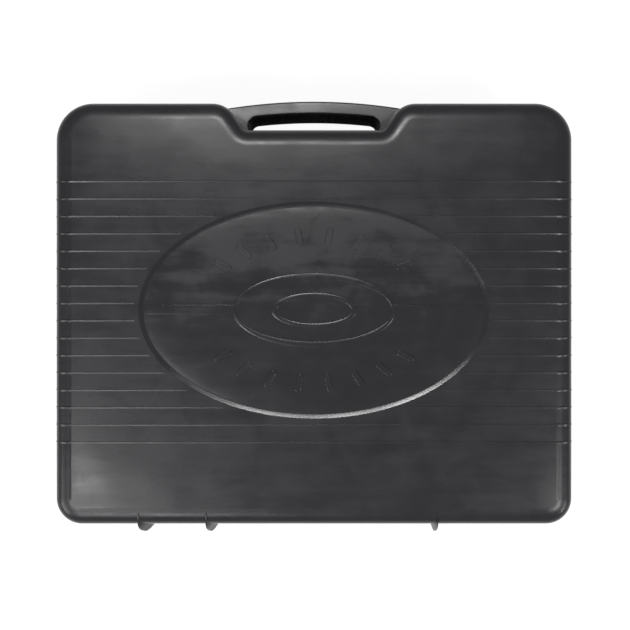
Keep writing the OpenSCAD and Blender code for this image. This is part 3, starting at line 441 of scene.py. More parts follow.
def new_piece(name, mesh, slot, body, replaced=()):
    """Puts a finished mesh in the scene, on its body and in place of the nodes it stands for."""
    obj = bpy.data.objects.new(name, mesh)
    bpy.context.scene.collection.objects.link(obj)
    mesh.materials.clear()
    mesh.materials.append(material(slot))
    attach(obj, body)
    if replaced:
        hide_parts(*replaced)
    return obj


def smooth(mesh, angle):
    """Smooth shading, but for edges that turn by more than the angle."""
    mesh.shade_smooth()
    mesh.set_sharp_from_angle(angle=math.radians(angle))


def soften(node, name, width):
    """A merged copy of a CAD node with broken edges and smooth curves, which takes its place."""
    mesh = frame["nodes"][node].data.copy()
    mesh.name = name
    bm = bmesh.new()
    bm.from_mesh(mesh)
    near, flat = 0.002 * MM, math.radians(0.5)
    bmesh.ops.remove_doubles(bm, verts=bm.verts, dist=near)
    bmesh.ops.dissolve_degenerate(bm, edges=bm.edges, dist=near)
    bmesh.ops.dissolve_limit(bm, angle_limit=flat, verts=bm.verts, edges=bm.edges)
    bm.to_mesh(mesh)
    bm.free()
    smooth(mesh, BREAK_ANGLE)
    obj = new_piece(name, mesh, slot_of(node), body_of(node), (node,))
    bevel = obj.modifiers.new("Broken edges", "BEVEL")
    bevel.width = width
    bevel.segments = 2
    bevel.limit_method = "ANGLE"
    bevel.angle_limit = math.radians(BREAK_ANGLE)
    bevel.use_clamp_overlap = True
    even = obj.modifiers.new("Flat faces stay flat", "WEIGHTED_NORMAL")
    even.keep_sharp = True


# ------------------------------------------------------------ mesh helpers

def arc(centre, radius, first, last, steps, side=1):
    """Points of an arc, each with the way out of the part; side -1 is a hollow in its outline."""
    points = []
    for k in range(steps + 1):
        a = math.radians(first + (last - first) * k / steps)
        out = (math.cos(a), math.sin(a))
        points.append(
            (centre[0] + side * radius * out[0], centre[1] + side * radius * out[1], *out))
    return points


def rounded(x0, x1, y0, y1, r, steps):
    """Rectangle with rounded corners, anticlockwise, with the way out at each point."""
    right = arc((x1 - r, y0 + r), r, -90, 0, steps) + arc((x1 - r, y1 - r), r, 0, 90, steps)
    left = arc((x0 + r, y1 - r), r, 90, 180, steps) + arc((x0 + r, y0 + r), r, 180, 270, steps)
    return right + left


def split_edges(path, step):
    """The path with its edges cut into equal parts of a step or more."""
    points = []
    for k, point in enumerate(path):
        last = path[k - 1]
        parts = max(1, int(math.dist(last[:2], point[:2]) / step))
        points += [tuple(last[n] + (point[n] - last[n]) * j / parts for n in range(4))
            for j in range(1, parts + 1)]
    return points


def bridge(bm, low, high):
    """Quads between two rings of as many points."""
    for k in range(len(low)):
        bm.faces.new((low[k - 1], low[k], high[k], high[k - 1]))


def loft(bm, made):
    """Quads between each ring and the next."""
    for low, high in zip(made, made[1:]):
        bridge(bm, low, high)


def closed_bar(bm, made):
    """Closed bar through rings of points, with one face at each end."""
    loft(bm, made)
    bm.faces.new(made[0])
    bm.faces.new(made[-1])


def rings(bm, path, sections):
    """Rings of a path, set in and lifted as the sections say, joined by quads."""
    made = [[bm.verts.new((x - nx * i, y - ny * i, z)) for x, y, nx, ny in path]
        for i, z in sections]
    loft(bm, made)
    return made


def fill(bm, *bounds):
    """Fills the flat area between rings."""
    edges = []
    for ring in bounds:
        for k in range(len(ring)):
            pair = (ring[k - 1], ring[k])
            edges.append(bm.edges.get(pair) or bm.edges.new(pair))
    bmesh.ops.triangle_fill(bm, edges=edges, use_beauty=True)


def block(bm, path, sections):
    """Closed block through rings of a path."""
    made = rings(bm, path, sections)
    fill(bm, made[0])
    fill(bm, made[-1])


def box(bm, x0, x1, y0, y1, z0, z1, soft=0.0):
    """Closed block between its corners, with chamfered edges if soft."""
    if soft:
        block(bm, rounded(x0, x1, y0, y1, 2 * soft, 2),
            [(soft, z0), (0, z0 + soft), (0, z1 - soft), (soft, z1)])
    else:
        corners = [(x1, y0, 0, 0), (x1, y1, 0, 0), (x0, y1, 0, 0), (x0, y0, 0, 0)]
        block(bm, corners, [(0, z0), (0, z1)])


def prism_x(bm, profile, x0, x1):
    """Closed prism along X through a profile of Y and Z."""
    ends = [[bm.verts.new((x, y, z)) for y, z in profile] for x in (x0, x1)]
    bridge(bm, *ends)
    fill(bm, ends[0])
    fill(bm, ends[1])


def circle_x(y, z, radius, steps=32):
    """Profile in Y and Z of a round bar along X."""
    turns = [2 * math.pi * k / steps for k in range(steps)]
    return [(y + radius * math.cos(a), z + radius * math.sin(a)) for a in turns]


def turn_out(bm, mesh):
    """Turns the faces of a bmesh outwards and puts it in a mesh; the bmesh is used up."""
    bm.normal_update()
    bmesh.ops.recalc_face_normals(bm, faces=bm.faces)
    bm.to_mesh(mesh)
    bm.free()
    return mesh


def solid(name, build):
    """A closed mesh in millimetres, from a function that fills a bmesh."""
    bm = bmesh.new()
    build(bm)
    return turn_out(bm, bpy.data.meshes.new(name))


def carve(mesh, cutter):
    """The mesh less the cutter, exactly; both are used up."""
    part, tool = (bpy.data.objects.new(m.name, m) for m in (mesh, cutter))
    for obj in (part, tool):
        bpy.context.scene.collection.objects.link(obj)
    cut = part.modifiers.new("Cut", "BOOLEAN")
    cut.operation = "DIFFERENCE"
    cut.solver = "EXACT"
    cut.object = tool
    graph = bpy.context.evaluated_depsgraph_get()
    result = bpy.data.meshes.new_from_object(part.evaluated_get(graph))
    for obj in (part, tool):
        old = obj.data
        bpy.data.objects.remove(obj)
        bpy.data.meshes.remove(old)
    return result


# ------------------------------------------------------------- case shells

def case_path():
    """Outline of the case at its parting plane, with the hand notch, anticlockwise."""
    w, d = CASE_W / 2, CASE_D / 2
    turn = math.radians(SHOULDER_TURN)
    way = (math.cos(turn), math.sin(turn))
    shoulder = (SHOULDER_X, d - SHOULDER_R)
    end = (shoulder[0] + SHOULDER_R * way[0], shoulder[1] + SHOULDER_R * way[1])
    hollow_y = NOTCH_Y + HOLLOW_R
    run = (hollow_y - end[1] - HOLLOW_R * way[1]) / way[0]
    hollow = (end[0] - run * way[1] + HOLLOW_R * way[0], hollow_y)
    right = (arc((w - HINGE_CORNER_R, HINGE_CORNER_R - d), HINGE_CORNER_R, -90, 0, 14)
        + arc((w - HANDLE_CORNER_R, d - HANDLE_CORNER_R), HANDLE_CORNER_R, 0, 90, 18)
        + arc(shoulder, SHOULDER_R, 90, SHOULDER_TURN, 12)
        + arc(hollow, HOLLOW_R, SHOULDER_TURN, 90, 8, side=-1))
    return right + [(-x, y, -nx, ny) for x, y, nx, ny in reversed(right)]


def rounding(top, start, tight, wide):
    """Set-in, height and way out along an edge that turns tightly, then widely up to its top."""
    points = []
    turn = math.radians(TIGHT_TURN)
    foot = top - tight * math.sin(turn) - wide * (1 - math.sin(turn))
    for degrees in EDGE_STEPS:
        a = math.radians(degrees)
        near = min(a, turn)
        inset = tight * (1 - math.cos(near)) + wide * (math.cos(near) - math.cos(a))
        lift = tight * math.sin(near) + wide * (math.sin(a) - math.sin(near))
        points.append((start + inset, foot + lift, math.cos(a), math.sin(a)))
    return points


def wall_sections(height, radius, thick, lean):
    """Set-in and height of a moulded wall from its rim to its face, outside and then inside."""
    outer, inner = [(SOFT, 0), (0, SOFT)], [(thick - SOFT, 0), (thick, SOFT)]
    wide = WIDE_R if lean else radius
    small = max(radius - thick, SOFT)
    under = rounding(height - thick, lean + thick, small, max(wide - thick, small))
    outer += [point[:2] for point in rounding(height, lean, radius, wide)]
    inner += [point[:2] for point in under]
    flat = max(outer[-1][0], inner[-1][0]) + 2 * SOFT
    return outer + [(flat, height)], inner + [(flat, height - thick)]


def tray(bm, paths, height, radius, thick, lean=0, tops=(), undersides=()):
    """Moulded tray, open at z = 0, round one outer path and any holes.

    The rings in tops and undersides are the edges of what already fills part of its face.
    """
    outer_sections, inner_sections = wall_sections(height, radius, thick, lean)
    outer_tops, inner_tops = list(tops), list(undersides)
    for path in paths:
        outer = rings(bm, path, outer_sections)
        inner = rings(bm, path, inner_sections)
        bridge(bm, outer[0], inner[0])
        outer_tops.append(outer[-1])
        inner_tops.append(inner[-1])
    fill(bm, *outer_tops)
    fill(bm, *inner_tops)


def crown(x, y):
    """How far the face of the lid falls away towards its edges."""
    past_x, past_y = max(0, abs(x) - FALL_X), max(0, abs(y) - FALL_Y)
    return FALL_X_SHARE * past_x ** 2 + FALL_Y_SHARE * past_y ** 2


def fall_away(bm):
    """Cuts the flat face into strips near its edges and lets it and its rounding fall away."""
    cuts = [(0, side * at) for at in FALL_Y_CUTS for side in (-1, 1)]
    cuts += [(side * at, 0) for at in FALL_X_CUTS for side in (-1, 1)]
    for x, y in cuts:
        face = [f for f in bm.faces if all(v.co.z > HALF_H - 0.01 for v in f.verts)]
        around = {v for f in face for v in f.verts} | {e for f in face for e in f.edges}
        bmesh.ops.bisect_plane(bm, geom=list(around) + face, plane_co=(x, y, 0),
            plane_no=(abs(x) > 0, abs(y) > 0, 0))
    for vert in bm.verts:
        share = (vert.co.z - HALF_H / 2) / (HALF_H / 2)
        if share > 0:
            vert.co.z -= crown(vert.co.x, vert.co.y) * share


def ellipse(bm, a, b, height_at):
    """Ring on an ellipse about the middle of the recess; height_at gives each point's height."""
    ring = []
    for k in range(OVAL_POINTS):
        t = 2 * math.pi * k / OVAL_POINTS
        x, y = a * math.cos(t), b * math.sin(t)
        ring.append(bm.verts.new((x, y + OVAL_Y, height_at(x, y))))
    return ring


def recess_floor(x, y):
    """Height of the crowned floor over the rim, at a place counted from the recess's middle."""
    share = min(1, (x / FLOOR_A) ** 2 + (y / FLOOR_B) ** 2)
    return HALF_H - LIP_DROP + FLOOR_CROWN * (1 - share) + FLOOR_SWELL * (1 - share ** 8)


def close_middle(bm, ring, height):
    """Closes a ring about the middle of the recess with a fan of triangles."""
    centre = bm.verts.new((0, OVAL_Y, height))
    for k in range(OVAL_POINTS):
        bm.faces.new((ring[k - 1], ring[k], centre))


def between(first, last, count, crowd=1.0):
    """Half sizes and no lift of the rings between two, crowded towards the first if crowd > 1."""
    shares = [(k / count) ** crowd for k in range(1, count)]
    return [(first[0] + (last[0] - first[0]) * s, first[1] + (last[1] - first[1]) * s, 0)
        for s in shares]


def oval_recess(bm, emblem_h):
    """Lip, crowned floor and raised rings of the recess; returns the edges of its two sides."""
    made = [ellipse(bm, OVAL_A - i, OVAL_B - i, lambda x, y, drop=drop: HALF_H - drop)
        for i, drop in LIP]
    # 14 rings crowd towards the lip; four are enough between the raised rings and in the middle.
    floor, reached, count, crowd = [], (FLOOR_A, FLOOR_B), 14, 1.7
    for a, b, across, along in (OUTER_RING, INNER_RING):
        floor += between(reached, (a, b), count, crowd)
        floor += [(a - across * s, b - along * s, emblem_h * RING_LIFT * lift)
            for s, lift in RING_STEPS]
        reached, count, crowd = (a - across, b - along), 4, 1.0
    for a, b, lift in floor + between(reached, (0, 0), count):
        made.append(ellipse(bm, a, b, lambda x, y, lift=lift: recess_floor(x, y) + lift))
    loft(bm, made)
    close_middle(bm, made[-1], recess_floor(0, 0))

    below = [ellipse(bm, OVAL_A - i, OVAL_B - i, lambda x, y, drop=drop: HALF_H - WALL - drop)
        for i, drop in UNDERSIDE]
    for share in UNDER_SHARES:
        below.append(ellipse(bm, (FLOOR_A - UNDER_IN) * share, (FLOOR_B - UNDER_IN) * share,
            lambda x, y: recess_floor(x, y) - WALL))
    loft(bm, below)
    close_middle(bm, below[-1], recess_floor(0, 0) - WALL)
    return made[0], below[0]


def raised_pad(bm, outline, height, edge):
    """Low pad with a soft edge on the crowned floor; the outline has the way out at each point."""
    made = []
    for i, lift in ((0, -PAD_FOOT), (0, height - edge), (edge * 0.4, height - edge * 0.3),
            (edge, height), (edge + PAD_RIM, height)):
        at = [(x - nx * i, y - ny * i) for x, y, nx, ny in outline]
        made.append([bm.verts.new((x, y, recess_floor(x, y - OVAL_Y) + lift)) for x, y in at])
    loft(bm, made)
    fill(bm, made[0])
    fill(bm, made[-1])


def emblem_marks(bm, height):
    """Two bands beside the rings and an arc of round-ended bars above and below."""
    for side in (-1, 1):
        x0, x1 = sorted((side * BAND_X, side * (OVAL_A - BAND_GAP)))
        outline = rounded(x0, x1, BAND_Y - BAND_HALF, BAND_Y + BAND_HALF, BAND_R, 3)
        raised_pad(bm, split_edges(outline, BAND_STEP), height * BAND_LIFT, BAND_EDGE)
    mark = []
    for end, first in ((1, -90), (-1, 90)):
        mark += arc((end * (MARK_L - MARK_W) / 2, 0), MARK_W / 2, first, first + 180, 10)
    for k in range(MARKS):
        for side in (-1, 1):
            a = math.radians(side * (90 - MARK_SPAN / 2 + MARK_SPAN * k / (MARKS - 1)))
            x, y = MARK_A * math.cos(a), MARK_B * math.sin(a)
            turn = math.atan2(y, x)
            c, s = math.cos(turn), math.sin(turn)
            outline = [(x + px * c - py * s, OVAL_Y + y + px * s + py * c,
                nx * c - ny * s, nx * s + ny * c) for px, py, nx, ny in mark]
            raised_pad(bm, outline, height * MARK_LIFT, MARK_EDGE)


def knuckle(bm, x0, x1):
    """Hinge knuckle with a true bore, and the arm that carries it."""
    made = []
    for radius, ends in ((KNUCKLE_R, (x0, x1)), (BORE_R, (x1, x0))):
        profile = circle_x(HINGE_Y, 0, radius)
        pair = [[bm.verts.new((x, y, z)) for y, z in profile] for x in ends]
        bridge(bm, *pair)
        made += pair
    bridge(bm, made[1], made[2])
    bridge(bm, made[3], made[0])
    # The arm stays clear of the bore and of the knuckle's ends, so that no two faces coincide.
    near, back = BORE_R + ARM_CLEAR, HINGE_Y + ARM_REACH
    quarter = [math.pi / 2 * k / 8 for k in range(8, -1, -1)]
    arm = [(HINGE_Y + near * math.cos(a), near * math.sin(a)) for a in quarter]
    arm += [(back, 0), (back, KNUCKLE_R), (HINGE_Y, KNUCKLE_R - ARM_CLEAR)]
    prism_x(bm, arm, x0 + ARM_SET_IN, x1 - ARM_SET_IN)


def handle_cut(bm):
    """Inside of the case, which the handle stays out of."""
    block(bm, case_path(), [(WALL / 2, -PAST), (WALL / 2, HALF_H)])


def handle_half(bm):
    """Half of the handle: the arched bar and the webs round the hand hole."""
    middle = (0, CASE_D / 2 + BAR_OUT - BAR_R)
    half_a = math.degrees(math.asin(WEB_X / BAR_R))
    outline = (arc((WEB_X - WEB_R, WEB_Y + WEB_R), WEB_R, -90, 0, 3)
        + arc(middle, BAR_R, 90 - half_a, 90 + half_a, 48)
        + arc((WEB_R - WEB_X, WEB_Y + WEB_R), WEB_R, 180, 270, 3))
    top_r = BAR_R - BAR_H
    top_a = math.degrees(math.asin(HOLE_X / top_r))
    hole = (arc((HOLE_X, HOLE_Y), HOLE_R, -90, 90 - top_a, 20)
        + arc(middle, top_r, 90 - top_a, 90 + top_a, 32)[1:-1]
        + arc((-HOLE_X, HOLE_Y), HOLE_R, 90 + top_a, 270, 20))
    hole = [(x, y, -nx, -ny) for x, y, nx, ny in hole]
    tray(bm, [outline, hole], HANDLE_TOP, HANDLE_EDGE, HANDLE_WALL)
    for vert in bm.verts:
        vert.co.z -= SLOPE * max(0, vert.co.y - SLOPE_Y) * vert.co.z / HANDLE_TOP


def knuckle_spans(lid):
    """Where the hinge knuckles of the lid, or of the base, lie along X."""
    for side in (-1, 1):
        x = side * HINGE_X
        if lid:
            yield x - LID_KNUCKLE, x + LID_KNUCKLE
        else:
            yield x - HINGE_HALF, x - LID_KNUCKLE - SOFT
            yield x + LID_KNUCKLE + SOFT, x + HINGE_HALF


def shell_cuts(bm, pocket_h, lid, ease=0.0):
    """Latch pockets, pin bores, and room for the knuckles of the other shell, wider by the ease."""
    half = POCKET_W / 2 + ease
    for x in (-POCKET_X, POCKET_X):
        box(bm, x - half, x + half, POCKET_Y - ease, CASE_D / 2 + PAST, -PAST, pocket_h + ease)
    for x0, x1 in knuckle_spans(lid):
        prism_x(bm, circle_x(HINGE_Y, 0, BORE_R), x0 + BORE_SET_IN, x1 - BORE_SET_IN)
    for x0, x1 in knuckle_spans(not lid):
        relief = circle_x(HINGE_Y, 0, RELIEF_R + ease, 48)
        prism_x(bm, relief, x0 - SOFT - ease, x1 + SOFT + ease)


def shell_roots(bm, pocket_h):
    """Blocks behind the latch pockets and the hinges, before the cuts."""
    d, wall_half = CASE_D / 2, WALL / 2
    for side in (-1, 1):
        x, half = side * POCKET_X, POCKET_W / 2 + WALL
        box(bm, x - half, x + half, POCKET_Y - WALL, d - wall_half, 0, pocket_h + WALL, SOFT)
        x, half = side * HINGE_X, HINGE_HALF + ROOT_SIDE
        box(bm, x - half, x + half, wall_half - d, ROOT_D - d, 0, ROOT_H, SOFT)


def lid_details(bm):
    """Knuckles, latch catches and thin curved fins of the lid."""
    for x0, x1 in knuckle_spans(True):
        knuckle(bm, x0, x1)
    for x in (-POCKET_X, POCKET_X):
        prism_x(bm, [(POCKET_Y + y, z) for y, z in CATCH], x - CATCH_HALF, x + CATCH_HALF)
    for x, lean in FINS:
        strip = []
        for (x0, y0, z0), (x1, y1, z1) in zip(FIN_EDGE, FIN_ROOT):
            x0, x1 = x + x0 * lean, x + x1 * lean
            strip.append([bm.verts.new(at) for at in (
                (x0 - FIN_HALF, y0, HALF_H + z0), (x0 + FIN_HALF, y0, HALF_H + z0),
                (x1 + FIN_HALF, y1, HALF_H + z1), (x1 - FIN_HALF, y1, HALF_H + z1))])
        closed_bar(bm, strip)


def bare_rim(x, y):
    """Whether the rim has no tongue here, at the handle, a latch or a hinge."""
    x = abs(x)
    at_latch = abs(x - POCKET_X) < BARE_LATCH and y > BARE_LATCH_Y
    at_hinge = abs(x - HINGE_X) < BARE_HINGE and y < BARE_HINGE_D - CASE_D / 2
    return (y > 0 and x < BARE_HANDLE) or at_latch or at_hinge


def base_details(bm):
    """Knuckles, cradle ribs and rim tongue of the base, upside down as its shell is."""
    for x0, x1 in knuckle_spans(False):
        knuckle(bm, x0, x1)
    inner = CASE_W / 2 - WALL - LEAN
    for side in (-1, 1):
        for share in CRADLE_SHARES:
            y = STOVE_Y + STOVE_D * share
            closed_bar(bm, [
                [bm.verts.new((side * (inner + out), at, HALF_H + z)) for out, z in CRADLE]
                for at in (y - CRADLE_HALF, y + CRADLE_HALF)])
    path = split_edges(case_path(), TONGUE_STEP)
    start = next(k for k, point in enumerate(path) if bare_rim(*point[:2]))
    run = []
    for x, y, nx, ny in path[start:] + path[:start + 1]:
        if not bare_rim(x, y):
            run.append([bm.verts.new((x - nx * i, y - ny * i, z)) for i, z in TONGUE])
            continue
        if len(run) > 1:
            closed_bar(bm, run)
        run = []


def make_shell(name, lid):
    """One moulded half of the case in metres, where the CAD has it."""
    pocket_h = LID_POCKET_H if lid else BASE_POCKET_H
    height = bpy.context.scene.camp_case.emblem_height / MM

    def skin(bm):
        filled = oval_recess(bm, height) if lid else ()
        tray(bm, [case_path()], HALF_H, EDGE_R, WALL, LEAN, filled[:1], filled[1:])
        if lid:
            fall_away(bm)

    parts = [
        carve(solid("skin", skin), solid("cuts", lambda bm: shell_cuts(bm, pocket_h, lid))),
        carve(solid("roots", lambda bm: shell_roots(bm, pocket_h)),
            solid("wider_cuts", lambda bm: shell_cuts(bm, pocket_h, lid, ROOT_EASE))),
        carve(solid("handle", handle_half), solid("inside", handle_cut)),
        solid("details", lid_details if lid else base_details)]
    if lid:
        parts.append(solid("marks", lambda bm: emblem_marks(bm, height)))
    bm = bmesh.new()
    for part in parts:
        bm.from_mesh(part)
        bpy.data.meshes.remove(part)
    up = 1 if lid else -1
    for vert in bm.verts:
        x, y, z = vert.co
        vert.co = (x * MM, y * MM, (HALF_H + up * z) * MM)
    mesh = turn_out(bm, bpy.data.meshes.new(name))
    smooth(mesh, SHELL_ANGLE)
    return mesh


# -------------------------------------------------------------------- ribs

def node_tree(name, sockets):
    """Empty geometry tree with a geometry input and output, and named number inputs."""
    tree = bpy.data.node_groups.new(name, "GeometryNodeTree")
    tree.interface.new_socket("Geometry", in_out="INPUT", socket_type="NodeSocketGeometry")
    for label, kind, default in sockets:
        socket = tree.interface.new_socket(label, in_out="INPUT", socket_type=kind)
        socket.default_value = default
    tree.interface.new_socket("Geometry", in_out="OUTPUT", socket_type="NodeSocketGeometry")
    return tree, add(tree, "NodeGroupInput").outputs


def grown(name, start, tree, values):
    """Plain mesh that a geometry tree makes of a start mesh, which is used up."""
    obj = bpy.data.objects.new(name, start)
    bpy.context.scene.collection.objects.link(obj)
    modifier = obj.modifiers.new(name, "NODES")
    modifier.node_group = tree
    for item in tree.interface.items_tree:
        if item.in_out == "INPUT" and item.name in values:
            modifier[item.identifier] = values[item.name]
    graph = bpy.context.evaluated_depsgraph_get()
    mesh = bpy.data.meshes.new_from_object(obj.evaluated_get(graph))
    mesh.name = name
    bpy.data.objects.remove(obj)
    bpy.data.meshes.remove(start)
    return mesh


def rib_tree(mat):
    """Ribs: half of one repeated along Y, mirrored, and stopped short of the oval recess."""
    length = "NodeSocketFloat"
    tree, given = node_tree("Moulded ribs", (
        ("Count", "NodeSocketInt", 16), ("First", length, -0.09), ("Pitch", length, 0.012),
        ("Stop half width", length, 0.0), ("Stop half depth", length, 0.0),
        ("Stop middle", length, 0.0), ("Stop share", length, 0.95)))
    first = add(tree, "ShaderNodeCombineXYZ", {"Y": given["First"]})
    step = add(tree, "ShaderNodeCombineXYZ", {"Y": given["Pitch"]})
    line = add(tree, "GeometryNodeMeshLine", {
        "Count": given["Count"], "Start Location": first, "Offset": step})
    right = add(tree, "GeometryNodeInstanceOnPoints", {
        "Points": line, "Instance": given["Geometry"]})
    left = add(tree, "GeometryNodeTransform", {"Geometry": right, "Scale": (-1, 1, 1)})
    both = add(tree, "GeometryNodeJoinGeometry", {"Geometry": right})
    tree.links.new(left.outputs[0], both.inputs[0])
    real = add(tree, "GeometryNodeRealizeInstances", {"Geometry": both})

    # A rib level with the recess ends at the half width there; any other crosses the middle.
    place = add(tree, "GeometryNodeInputPosition")
    at = add(tree, "ShaderNodeSeparateXYZ", {0: place}).outputs
    off = add(tree, "ShaderNodeMath", {0: at["Y"], 1: given["Stop middle"]}, operation="SUBTRACT")
    share = add(tree, "ShaderNodeMath", {0: off, 1: given["Stop half depth"]}, operation="DIVIDE")
    square = add(tree, "ShaderNodeMath", {0: share, 1: share}, operation="MULTIPLY")
    rest = add(tree, "ShaderNodeMath", {0: 1.0, 1: square}, operation="SUBTRACT", use_clamp=True)
    wide = add(tree, "ShaderNodeMath", {0: rest}, operation="SQRT")
    stop = add(tree, "ShaderNodeMath", {0: wide, 1: given["Stop half width"]}, operation="MULTIPLY")
    far = add(tree, "ShaderNodeMath", {0: share}, operation="ABSOLUTE")
    stopped = add(tree, "ShaderNodeMath", {0: far, 1: given["Stop share"]}, operation="LESS_THAN")
    end = add(tree, "GeometryNodeSwitch", {
        "Switch": stopped, "False": -RIB_CROSS * MM, "True": stop}, input_type="FLOAT")
    side = add(tree, "ShaderNodeMath", {0: at["X"]}, operation="SIGN")
    end_x = add(tree, "ShaderNodeMath", {0: end, 1: side}, operation="MULTIPLY")
    aside = add(tree, "ShaderNodeMath", {0: at["X"]}, operation="ABSOLUTE")
    inner = add(tree, "ShaderNodeMath", {0: aside, 1: 1 * MM}, operation="LESS_THAN")
    moved_to = add(tree, "ShaderNodeCombineXYZ", {"X": end_x, "Y": at["Y"], "Z": at["Z"]})
    moved = add(tree, "GeometryNodeSetPosition", {
        "Geometry": real, "Selection": inner, "Position": moved_to})
    flat = add(tree, "GeometryNodeRealizeInstances", {"Geometry": moved})
    painted = add(tree, "GeometryNodeSetMaterial", {"Geometry": flat, "Material": mat})
    add(tree, "NodeGroupOutput", {0: painted})
    return tree


def half_rib(name, lid):
    """Half of one rib, steep on one side and sloped on the other.

    It runs from the rim up the side; on the lid it goes on over the face to the middle.
    """
    width = bpy.context.scene.camp_case.rib_width / MM
    section = [(y * width, z) for y, z in RIB_SECTION]
    path = [(RIB_FOOT, 1, 1, 0)]
    path += [point for point in rounding(HALF_H, LEAN, EDGE_R, WIDE_R)
        if lid or point[3] < RIB_END_TURN]
    if lid:
        path += [(CASE_W / 2 - x, HALF_H, 0, 1) for x in RIB_XS]
    else:
        path.append((path[-1][0] + RIB_END, path[-1][1] - RIB_END, 0, 1))
    up = 1 if lid else -1
    bm = bmesh.new()
    made = []
    for inset, z, nx, nz in path:
        x = CASE_W / 2 - inset
        low = crown(x, 0) * (2 * z / HALF_H - 1) if lid and z > HALF_H / 2 else 0
        made.append([bm.verts.new(
            ((x + nx * lift) * MM, y * MM, (HALF_H + up * (z - low + nz * lift)) * MM))
            for y, lift in section])
    closed_bar(bm, made)
    mesh = bpy.data.meshes.new(name)
    bm.to_mesh(mesh)
    bm.free()
    return mesh


def make_ribs(name, lid):
    """Ribs of one shell: over the face and down the sides of the lid, on the base's sides alone."""
    settings = bpy.context.scene.camp_case
    made = grown(name, half_rib(name, lid), rib_tree(material("case_plastic")), {
        "Count": settings.rib_count, "First": FIRST_RIB * MM, "Pitch": settings.rib_pitch,
        "Stop half width": (OVAL_A + RIB_CLEAR) * MM,
        "Stop half depth": (OVAL_B + RIB_CLEAR) * MM, "Stop middle": OVAL_Y * MM})
    bm = bmesh.new()
    bm.from_mesh(made)
    turn_out(bm, made)
    smooth(made, RIB_ANGLE)
    return made


# --------------------------------------------------------------- operators

class MakePiece:
    """What the operators share."""
    bl_options = {"REGISTER", "UNDO"}


class CASE_OT_lid(MakePiece, bpy.types.Operator):
    """Make the lid shell with its ribs and its oval recess"""
    bl_idname = "camp_case.lid"
    bl_label = "Lid shell"

    def execute(self, context):
        new_piece("lid_skin", make_shell("lid_skin", True), "case_plastic", "lid", ("lid_shell",))
        new_piece("lid_ribs", make_ribs("lid_ribs", True), "case_plastic", "lid")
        return {"FINISHED"}


class CASE_OT_base(MakePiece, bpy.types.Operator):
    """Make the base shell with its ribs"""
    bl_idname = "camp_case.base"
    bl_label = "Base shell"

    def execute(self, context):
        skin = make_shell("base_skin", False)
        new_piece("base_skin", skin, "case_plastic", "base", ("base_shell",))
        new_piece("base_ribs", make_ribs("base_ribs", False), "case_plastic", "base")
        return {"FINISHED"}


SHELLS = ("lid_shell", "base_shell")
PINS = ("hinge_pins", "latch_pins")
LATCHES = ("left_latch", "right_latch")
SOFTENED = {
    "stove_housing": "housing_sheet", "cartridge_cover": "cover_sheet", "drip_pan": "pan_sheet",
    "pan_support": "support_rods", "burner_base": "burner_casting", "burner_cap": "burner_crown",
    "control_knob": "knob_moulding", "lock_lever": "lever_moulding",
    "piezo_igniter": "igniter_body"}


class CASE_OT_fittings(MakePiece, bpy.types.Operator):
    """Finish the latches and pins of the case"""
    bl_idname = "camp_case.fittings"
    bl_label = "Latches and pins"

    def execute(self, context):
        for node in PINS:
            paint_node(node)
        for node in LATCHES:
            soften(node, node + "_moulding", context.scene.camp_case.edge_break)
        return {"FINISHED"}


class CASE_OT_stove(MakePiece, bpy.types.Operator):
    """Finish the stove that lies in the case"""
    bl_idname = "camp_case.stove"
    bl_label = "Stove"

    def execute(self, context):
        for node in frame["nodes"]:
            if node in SOFTENED:
                soften(node, SOFTENED[node], context.scene.camp_stove.sheet_break)
            elif node not in PINS + LATCHES + SHELLS:
                paint_node(node)
        return {"FINISHED"}


# ------------------------------------------------------------------- stage
# In metres.

FLOOR_HALF, LAMP_AIM, CAMERA_AT = 6, (0, 0, 0.1), (0.0007, -0.001, 1.005)
LAMPS = (  # name, place, the two sides, and watts
    ("key", (-0.12, 0.68, 1.8), (0.45, 0.14), 21),
    ("left_fill", (-0.62, -0.52, 1.8), (0.35, 0.35), 15),
    ("front_low", (-0.5, -1.15, 1.7), (0.5, 0.3), 13),
    ("left_panel", (-1.5, -0.9, 1.1), (0.9, 0.9), 30),
    ("right_edge", (0.8, -0.55, 1.5), (0.22, 0.22), 14),
    ("right_panel", (1.5, -0.9, 1.0), (0.6, 0.6), 18))
# A card of painted shade lies on the floor below the hand hole; only gloss sees it.
HOLE_SHADE_X, HOLE_SHADE_NEAR, HOLE_SHADE_FAR, HOLE_SHADE_Z = 0.07, 0.118, 0.165, 0.0005  # below the hand hole


def white_for_eyes(tree, seen, mirrored, unseen):
    """Mixes shaders for the camera, for what gloss and glass show, and for all other light."""
    path = add(tree, "ShaderNodeLightPath").outputs
    gloss = add(tree, "ShaderNodeMath", {
        0: path["Is Glossy Ray"], 1: path["Is Transmission Ray"]}, operation="MAXIMUM")
    shown = add(tree, "ShaderNodeMixShader", {0: gloss, 1: unseen, 2: mirrored})
    return add(tree, "ShaderNodeMixShader", {0: path["Is Camera Ray"], 1: shown, 2: seen})


def lamp(name, place, size, power):
    """A soft rectangular lamp that looks at the case."""
    data = bpy.data.lights.new(name, "AREA")
    data.shape = "RECTANGLE"
    data.size, data.size_y = size
    data.energy = power
    obj = bpy.data.objects.new(name, data)
    obj.location = place
    obj.rotation_euler = (Vector(LAMP_AIM) - Vector(place)).to_track_quat("-Z", "Y").to_euler()
    bpy.context.scene.collection.objects.link(obj)


def stage_piece(name, mesh, mat):
    """Puts a piece of the stage in the scene."""
    mesh.materials.append(mat)
    obj = bpy.data.objects.new(name, mesh)
    bpy.context.scene.collection.objects.link(obj)
    return obj


